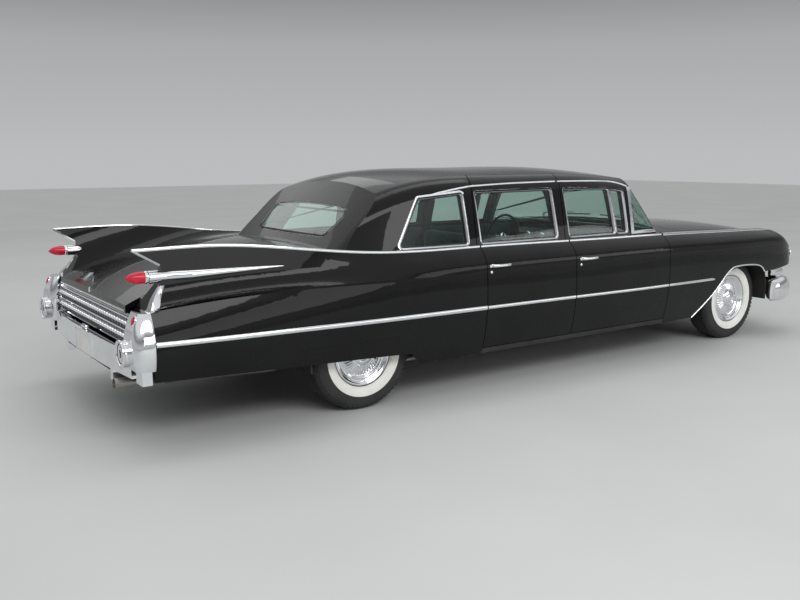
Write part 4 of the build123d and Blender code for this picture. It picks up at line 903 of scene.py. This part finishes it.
# %% Red cones, their collars, pod lamps and reflectors
CONE = [(-2, 0), (-2, 27), (8, 30.5), (30, 32.5), (55, 31.5), (78, 27), (98, 18.5), (111, 9),
    (118, 3), (120, 0)]
COLLAR = [(-4, 28), (-4, 34), (3, 35), (8, 33), (14, 30), (16, 26), (12, 25)]
POD_BEZEL = [(0, 58), (0, 74), (6, 77), (12, 75), (15, 68), (13, 61), (6, 57)]
POD_LENS = [(-4, 0), (-4, 57), (1, 57), (4, 52), (5, 46), (4, 42), (6, 36), (5, 30), (8, 24),
    (10, 14), (11, 0)]
REFLECTOR = [(-2, 0), (-2, 24), (3, 24), (6, 20), (8, 11), (9, 0)]
REFLECTOR_RIM = [(-2, 24), (4, 24), (5, 28), (-2, 30)]
CONE_AT, COLLAR_AT, POD_AT = (-2930, CONE_Y, 954), (-2934, CONE_Y, 954), (-3096, 860, 560)

piece("tail_lamp_cones", [spin(flip(Vector(CONE_AT), side), BACK, CONE) for side, _ in SIDES],
    RED_LENS, replaces=("tail_lamps",))
for name, at, profile, material in (("spear_collar", COLLAR_AT, COLLAR, CHROME),
                                    ("pod_lamp_bezel", POD_AT, POD_BEZEL, CHROME),
                                    ("pod_lamp_lens", POD_AT, POD_LENS, CLEAR_LENS)):
    both(name, lambda side: [spin(flip(Vector(at), side), BACK, profile)], material)
for name, profile, material in (("pod_reflector", REFLECTOR, RED_LENS),
                                ("pod_reflector_rim", REFLECTOR_RIM, CHROME)):
    both(name, lambda side: [spin(*from_behind(BUMPER, side * 925, 742), profile, 32)],
        material)
print("lamps", len(PIECES))

# %% The plate's place, left blank, with its lamp, the exhaust's tip and the grille's bars
PLATE_X, PLATE_HALF = -3066, 156
FRAME_BARS = ((-165, 165, 544, 552), (-165, 165, 398, 406), (-165, -157, 406, 544),
    (157, 165, 406, 544))
TIP = [(0, 25.5), (0, 31), (96, 33), (100, 31), (100, 28), (60, 27), (10, 25.5)]

piece("plate_frame", [box((PLATE_X - 4, PLATE_X + 10), (y0, y1), (z0, z1))
    for y0, y1, z0, z1 in FRAME_BARS])
piece("plate_blank", [box((PLATE_X - 1.5, PLATE_X + 6), (-PLATE_HALF, PLATE_HALF),
    (407, 543))], WHITEWALL)
piece("plate_lamp", [tube([(-3052, y, 566) for y in (-46, -42, 42, 46)], [6, 13, 13, 6], 16)])
piece("exhaust_tip", [spin((-2964, -580, 327), (-1, 0, 0.045), TIP)], STEEL)
copied("tail_grille_uprights", [box((-3000, -2988), (-751.5, -748.5), (566, 726))], 31,
    step=(0, 50, 0))
piece("tail_grille_backing", [box((-2993, -2988), (-748, 748), z)
    for z in ((569, 637), (647, 715))], GRILLE_BACK)
print("plate at", PLATE_X)

# %% [markdown]
# ## The front
# The photograph hides the nose, so it is plain for its time: bright rims round four lamps, a
# grille behind them, parking lamps let into the bumper, and a bare plate place.

# %% Lamp rims, grille, parking lamps and the bumper's ends
FRONT_BAR = tree_of("front_bumper")
LAMP_RIM = [(0, 80.5), (0, 90), (8, 93), (14, 90), (16, 84), (12, 79), (4, 78)]
PARKING_LENS = [(-3, 0), (-3, 38), (3, 38), (6, 30), (8, 16), (9, 0)]
PARKING_RIM = [(-3, 38), (5, 38), (7, 42), (4, 47), (-3, 47)]
BAR_Z, BLADE_Z = 396, 548
BAR_PATH = [(2672, 950), (2680, 951), (2710, 953), (2780, 956), (2860, 952), (2930, 932),
    (2982, 896), (3016, 846), (3032, 792), (3040, 736), (3044, 700), (3045, 690)]
BAR_SIZE = [20, 42, 52, 55, 56, 56, 55, 54, 52, 46, 30, 12]
SPLASH = [(2562, 622), (2602, 560), (2624, 470), (2628, 322), (2634, 322), (2630, 472),
    (2608, 564), (2568, 626)]


def bumper_end(side):
    """The full, rounded end of the front bumper, where it wraps round the fender."""
    bar = tube([(x, y * side, BAR_Z) for x, y in BAR_PATH], BAR_SIZE, 28, 1.9)
    blade = tube([(x - 14, (y - 22) * side, BLADE_Z) for x, y in BAR_PATH[2:]],
        [r * 0.3 for r in BAR_SIZE[2:]], 16, 1.5)
    return [bar, blade]


for at, y in (("inner", 640), ("outer", 822)):
    both(f"headlamp_rim_{at}",
        lambda side: [spin((3034, side * y, 702), (1, 0, 0), LAMP_RIM, 64)])
for name, profile, material in (("parking_lamp", PARKING_LENS, CLEAR_LENS),
                                ("parking_lamp_rim", PARKING_RIM, CHROME)):
    both(name, lambda side: [spin(*cast(FRONT_BAR, (AHEAD, side * 560, BAR_Z), BACK), profile,
        40)], material)
piece("grille_frame", [box((2998, 3030), (-556, 556), z) for z in ((728, 738), (582, 590))])
copied("grille_uprights", [box((2996, 3012), (-526, -523), (592, 726))], 22, step=(0, 50, 0))
piece("front_grille_backing", [box((2992, 2998.5), (-530, 530), z)
    for z in ((595, 650), (660, 715))], GRILLE_BACK)
both("front_bumper_end", bumper_end)
piece("front_plate_blank", [box((3104, 3108.5), (-PLATE_HALF, PLATE_HALF), (330, 462))],
    WHITEWALL)
both("splash_panel", lambda side: [([[(x, side * y, z) for x, z in SPLASH] for y in (560, 945)],
    False)], UNDERSEAL)
print("front", len(PIECES))

# %% Door handles and locks
HANDLE_PATH = ((0, -2), (0.03, 8), (0.1, 19), (0.3, 25), (0.6, 26), (0.88, 21), (0.97, 9),
    (1, -2))
HANDLE_SIZE = [9, 9, 8, 7.5, 7.5, 8, 9, 9]
BUTTON = [(0, 0), (0, 11), (7, 11), (9, 9), (9, 0)]
KEYHOLE = [(0, 0), (0, 10), (3, 10), (5, 8), (5, 3), (3, 2.5), (3, 0)]


def handle(name, x0, x1, z, body):
    """A pull handle that stands off the door on two feet, with its push button and lock."""
    def bar(side):
        a, b = on_side(x0, z)[0], on_side(x1, z)[0]
        path = [flip(a.lerp(b, t) + Vector((0, off, 0)), side) for t, off in HANDLE_PATH]
        return [tube(path, HANDLE_SIZE, 14, 1.25)]

    def stud(x, z, profile, segments):
        p = on_side(x, z)[0] - Vector((0, 1, 0))
        return lambda side: [spin(flip(p, side), (0, side, 0), profile, segments)]

    both(name, bar, body=body)
    both(f"{name}_button", stud(x0 - 14, z - 1, BUTTON, 28), body=body)
    both(f"{name}_lock", stud(x0 - 6, z - 42, KEYHOLE, 24), body=body)


handle("rear_door_handle", -648, -488, 866, "rear_door_{}")
handle("front_door_handle", 206, 362, 856, "front_door_{}")
print("handles", len(PIECES))

# %% Door mirror and wipers
MIRROR_HEAD = Vector((1075, 985, 1068))
WIPER_Y, WIPER_TIP_Y, WIPER_Z = 560, 250, 1062
MIRROR_SHELL = [(0, 0), (3, 22), (10, 40), (24, 52), (36, 56), (42, 55), (42, 50), (38, 49),
    (37, 0)]
GLASS = tree_of("windshield")
ARM_MIDDLE = Vector((4, 0, 4))


def screen(y, z, off):
    """A point that stands off the windscreen."""
    hit, normal = cast(GLASS, (AHEAD, y, z), BACK)
    return hit + normal * off


piece("door_mirror_arm", [tube([(1085, 918, 965), (1082, 940, 1000), (1078, 965, 1040),
    MIRROR_HEAD], 7, 12)], body="front_door_l")
piece("door_mirror_shell", [spin(MIRROR_HEAD + Vector((26, 4, 0)), (-1, -0.2, 0), MIRROR_SHELL,
    40)], body="front_door_l")
arms, blades = [], []
for side, _ in SIDES:
    pivot = screen(side * WIPER_Y, WIPER_Z, 14)
    tip = screen(side * WIPER_TIP_Y, WIPER_Z + 16, 16)
    stud = [screen(side * WIPER_Y, WIPER_Z - down, off) for down, off in ((12, -6), (10, 16))]
    arms += [tube(stud, 12),
        tube([pivot, pivot.lerp(tip, 0.5) + ARM_MIDDLE, tip], [6, 4.5, 3.5], 8)]
    blades.append(tube([screen(side * (60 + 40 * k), 1074 - 1.2 * k, 6) for k in range(11)],
        4.5, 8, 1.3))
piece("wiper_arms", arms, STEEL)
piece("wiper_blades", blades, SEAL)
print("ends dressed", len(PIECES))

# %% [markdown]
# ## The cabin
# The doors open, so the cabin is finished too. Linings are thin sheets laid on the panels' own
# inner faces. The seats are sewn pads: a rough form is given a fine skin, blown up a little as
# cloth, and then pleated.


# %% Linings laid on inner faces
BELT_Z, ROOF_LEAST_Z, FLOOR_LEAST_Z, CARPET_HALF, TUNNEL_HALF = 975, 960, 290, 870, 125


def lining(name, nodes, wanted, lift, thickness, material, body=ROOT):
    """Copy the wanted faces of nodes, lift them off the panel and give them a thickness."""
    work = bmesh.new()
    for mesh in [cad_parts[node].data for node in nodes.split()]:
        for face in mesh.polygons:
            if wanted(face.center / MM, face.normal):
                work.faces.new([work.verts.new(mesh.vertices[k].co) for k in face.vertices])
    bmesh.ops.remove_doubles(work, verts=work.verts, dist=MERGE)
    work.normal_update()
    for vert, move in [(vert, vert.normal * lift * MM) for vert in work.verts]:
        vert.co += move
    sheet = bpy.data.meshes.new(name)
    work.to_mesh(sheet)
    work.free()
    obj = place(name, sheet)
    solid = obj.modifiers.new("thickness", "SOLIDIFY")
    solid.thickness, solid.offset = thickness * MM, 0.0
    settle(obj, solid)
    return finish(obj, material, body)


def faces_cabin(centre, normal):
    """True where a face of the roof looks at the cabin's middle."""
    middle = Vector((max(-1100, min(800, centre.x)), 0, 950))
    return normal.dot((middle - centre).normalized()) > 0.55 and centre.z > ROOF_LEAST_Z


def floor_face(centre, normal):
    """True on top of the floor and on the tunnel's sides."""
    y = abs(centre.y)
    above = normal.z > 0.4 and y < CARPET_HALF and centre.z > FLOOR_LEAST_Z
    return above or (y < TUNNEL_HALF and abs(normal.y) > 0.7 and centre.z > FLOOR_LEAST_Z + 10)


lining("head_lining", "roof", faces_cabin, 3, 3, LINING)
lining("rear_slope_lining", "rear_slope windshield_posts", faces_cabin, 3, 3, LINING)
for side, tail in SIDES:
    for door in (f"front_door_{tail}", f"rear_door_{tail}"):
        stem = door[:-2]
        lining(f"{stem}_card_{tail}", door, lambda c, n: n.y * side < -0.6 and c.z < BELT_Z
            and c.y * side > 780, 3, 3, SEAT_CLOTH, door)
        lining(f"{stem}_garnish_{tail}", door, lambda c, n: n.y * side < -0.6 and c.z > BELT_Z,
            1.5, 2, DASH, door)
lining("floor_carpet", "floor_pan", floor_face, 3, 4, CARPET)
lining("rear_carpet", "rear_floor", lambda c, n: n.z > 0.6 and c.z > 460, 3, 4, CARPET)
print("linings", len(PIECES))

# %% Door furniture inside
# Each door has the x of its pull, of its crank, and of the ends of its card's strip.
DOORS = (("front", 330, 640, 302, 736), ("rear", -520, -240, -558, -154))
STRIP_STEPS = 8

for side, tail in SIDES:
    for row, x_pull, x_crank, x_start, x_end in DOORS:
        body = f"{row}_door_{tail}"
        inner = tree_of(body)

        def inside(x, z, off=0.0):
            """A point that stands off the door's inner face."""
            hit, _ = cast(inner, (x, side * 500, z), (0, side, 0))
            return hit - Vector((0, side * off, 0))

        def from_spot(spot, *points):
            """Points given from a spot on the door, with how far each stands into the cabin."""
            return [spot + Vector((x, -side * y, z)) for x, y, z in points]

        line = [(inside(x_start + (x_end - x_start) * k / STRIP_STEPS, 800, 4),
            Vector((0, -side, 0))) for k in range(STRIP_STEPS + 1)]
        piece(f"{row}_card_strip_{tail}", [strip(line, half_round(7, 4))], ANODISED, body)
        hub, grip = inside(x_crank, 745), inside(x_pull, 770)
        piece(f"{row}_window_crank_{tail}", [
            tube(from_spot(hub, (0, 0, 0), (0, 22, 0)), 15, 24),
            tube(from_spot(hub, (0, 20, 0), (60, 30, -26), (96, 32, -40)), [8, 6, 6], 12, 0.6),
            tube(from_spot(hub, (96, 28, -40), (96, 62, -40)), [9, 13], 20)], body=body)
        piece(f"{row}_door_pull_{tail}", [tube(from_spot(grip, (0, -2, 0), (4, 22, 2),
            (70, 26, 6), (96, 16, 8)), [12, 9, 7, 5], 14, 0.7)], body=body)
print("door furniture", len(PIECES))

# %% Seats, blown up as cloth
PAD_ENDS = ((0, 0.72), (8, 0.86), (34, 0.97), (68, 1))
VOXEL, FRAMES, PRESSURE = 15.0, 20, 4.0
PLEAT, PLEAT_DEPTH, PLEAT_WIDTH, HEM, LOOK, FADE = 118.0, 7.0, 9.0, 70, 0.35, 3


def pad_form(name, section, half):
    """A closed pad across the car, its ends drawn in towards the section's middle."""
    mx, mz = Vector([sum(p[i] for p in section) / len(section) for i in (0, 1)])
    ends = [(-half + inset, size) for inset, size in PAD_ENDS]
    rings = [[(mx + (x - mx) * size, y, mz + (z - mz) * size) for x, z in section]
        for y, size in ends + [(-y, size) for y, size in reversed(ends)]]
    return runs_mesh(name, [(rings, False)])


def blown(obj, cap):
    """Give a pad a fine skin, swell it under pressure and cap how far each point moves."""
    skin = obj.modifiers.new("skin", "REMESH")
    skin.mode, skin.voxel_size = "VOXEL", VOXEL * MM
    settle(obj, skin)
    home = [v.co.copy() for v in obj.data.vertices]
    cloth = obj.modifiers.new("puff", "CLOTH")
    cloth.settings.use_pressure = True
    cloth.settings.uniform_pressure_force = PRESSURE
    cloth.settings.effector_weights.gravity = 0.0
    cloth.point_cache.frame_start, cloth.point_cache.frame_end = 1, FRAMES
    for number in range(1, FRAMES + 1):
        bpy.context.scene.frame_set(number)
    settle(obj, cloth)
    for vert, start in zip(obj.data.vertices, home):
        move = vert.co - start
        if move.length > cap * MM:
            vert.co = start + move * (cap * MM / move.length)
    bpy.context.scene.frame_set(1)
    finer = obj.modifiers.new("finer", "SUBSURF")
    finer.levels = finer.render_levels = 1
    settle(obj, finer)


def pleat(obj, way):
    """Press sewn channels into the faces that look a given way."""
    way = Vector(way).normalized()
    obj.data.update()
    normals = [v.normal.copy() for v in obj.data.vertices]
    reach = max(abs(v.co.y) for v in obj.data.vertices) / MM - HEM
    for vert, normal in zip(obj.data.vertices, normals):
        look, y = normal.dot(way), vert.co.y / MM
        if look < LOOK or abs(y) > reach:
            continue
        off = (y + PLEAT / 2) % PLEAT - PLEAT / 2
        press = PLEAT_DEPTH * math.exp(-(off / PLEAT_WIDTH) ** 2) * min(1.0, (look - LOOK) * FADE)
        vert.co -= normal * press * MM


def seat_pad(name, section, half, way, cap, replaced=()):
    pad = pad_form(name, section, half)
    blown(pad, cap)
    pleat(pad, way)
    finish(pad, SEAT_CLOTH, replaces=replaced, smooth=60)


FRONT_HALF, REAR_HALF = 706, 612
seat_pad("front_cushion", [(232, 452), (660, 440), (684, 480), (678, 588), (634, 612),
    (460, 600), (300, 582), (240, 592)], FRONT_HALF, (0, 0, 1), 16, ("front_seat",))
seat_pad("front_backrest", [(104, 462), (198, 462), (212, 606), (160, 790), (98, 966),
    (72, 976), (30, 974), (4, 940), (46, 700)], FRONT_HALF, (1, 0, 0.25), 14)
seat_pad("rear_cushion", [(-1200, 452), (-764, 440), (-716, 478), (-724, 580), (-774, 600),
    (-950, 586), (-1130, 564), (-1196, 580)], REAR_HALF, (0, 0, 1), 16, ("rear_seat",))
seat_pad("rear_backrest", [(-1480, 600), (-1212, 600), (-1222, 616), (-1300, 790),
    (-1384, 966), (-1408, 976), (-1466, 972), (-1486, 936)], REAR_HALF, (1, 0, 0.35), 14)
piece("seat_bases", [box(x, y, (298, 440)) for x, half in (((96, 636), 640), ((-1306, -804), 600))
    for y in ((-half, -126), (126, half))], CARPET)
print("seats", len(PIECES))

# %% Steering wheel
HUB = Vector((705.7, 430, 878.4))
AXIS = Vector((-0.9768, 0, 0.2143))
WHEEL_X, WHEEL_Y = Vector((0, 1, 0)), Vector((-0.2143, 0, -0.9768))
RIM_RADIUS, RIM_SIZE, RIM_SIDES, RIM_STEPS = 202, 10.5, 14, 64
HORN_RADIUS, HORN_STEPS = 128, 30
HUB_CAP = [(0, 0), (0, 22), (16, 24), (22, 40), (30, 40), (36, 30), (40, 14), (41, 0)]


def on_wheel(degrees):
    """The direction from the hub at an angle."""
    turn = math.radians(degrees)
    return WHEEL_X * math.cos(turn) + WHEEL_Y * math.sin(turn)


def hoop():
    """The rim: a closed hoop of round section about the steering axis."""
    rings = []
    for k in range(RIM_STEPS):
        out = on_wheel(360 * k / RIM_STEPS)
        rings.append([HUB + out * (RIM_RADIUS + RIM_SIZE * math.cos(turn))
            + AXIS * (RIM_SIZE * math.sin(turn)) for turn in circle(RIM_SIDES)])
    return rings, True


spokes = [tube([HUB + out * 24, HUB + out * 110 - AXIS * 4, HUB + out * 198], [13, 9, 8], 14,
    0.6) for out in map(on_wheel, (0, 180, 90))]
horn = [HUB + AXIS * 10 + on_wheel(10 + 160 * k / HORN_STEPS) * HORN_RADIUS
    for k in range(HORN_STEPS + 1)]
horn_ends = [HUB + WHEEL_X * x + AXIS * 8 for x in (34, -34)]
piece("steering_rim", [hoop()] + spokes, BLACK_PLASTIC, replaces=("steering_wheel",))
piece("steering_hub", [spin(HUB - AXIS * 26, AXIS, HUB_CAP)])
piece("horn_ring", [tube([horn_ends[0]] + horn + [horn_ends[1]], 3.6, 10)])
piece("column_stalk", [tube([(770, 442, 871), (758, 580, 885)], [5, 4], 10)])
print("steering wheel", len(PIECES))

# %% Dials, knobs and the inside mirror
DASH_TREE = tree_of("dashboard")
DIAL, DIAL_Z = 46, 866
BEZEL = [(-2, 0), (-2, DIAL), (8, DIAL), (10, DIAL - 4), (6, DIAL - 7), (4, DIAL - 9), (4, 0)]
DIAL_FACE = [(3, 0), (3, DIAL - 9), (5.5, DIAL - 9), (5.5, 0)]
KNOB = [(-3, 0), (-3, 11), (8, 11), (18, 9), (20, 6), (20, 0)]


def on_dash(y, z):
    return cast(DASH_TREE, (400, y, z), (1, 0, 0))


for number, y in enumerate((520, 340)):
    at, way = on_dash(y, DIAL_Z)
    middle = at + way * 7
    piece(f"dial_{number}", [spin(at, way, BEZEL)])
    piece(f"dial_face_{number}", [spin(at, way, DIAL_FACE)], WHITEWALL)
    hand = [middle + Vector((0, -4, -6)), middle + Vector((0, DIAL * 0.5, DIAL * 0.3))]
    piece(f"dial_hand_{number}", [tube(hand, [2.2, 0.8], 6)], RED_LENS)
piece("dash_strip", [strip([on_dash(-640 + 40 * k, 830) for k in range(33)],
    half_round(9, 5))], ANODISED)
knob_at, knob_way = on_dash(-110, 800)
copied("radio_knobs", [spin((0, 0, 0), knob_way, KNOB, 24)], 6, step=(0, 44, 0),
    centre=knob_at)
piece("inside_mirror", [tube([(1010, 0, 1392), (985, 0, 1350), (975, 0, 1322)], 6, 10),
    tube([(972, y, 1306) for y in (-112, -104, -60, 60, 104, 112)],
         [10, 20, 24, 24, 20, 10], 16, 1.1)])
print("cabin dressed", len(PIECES))
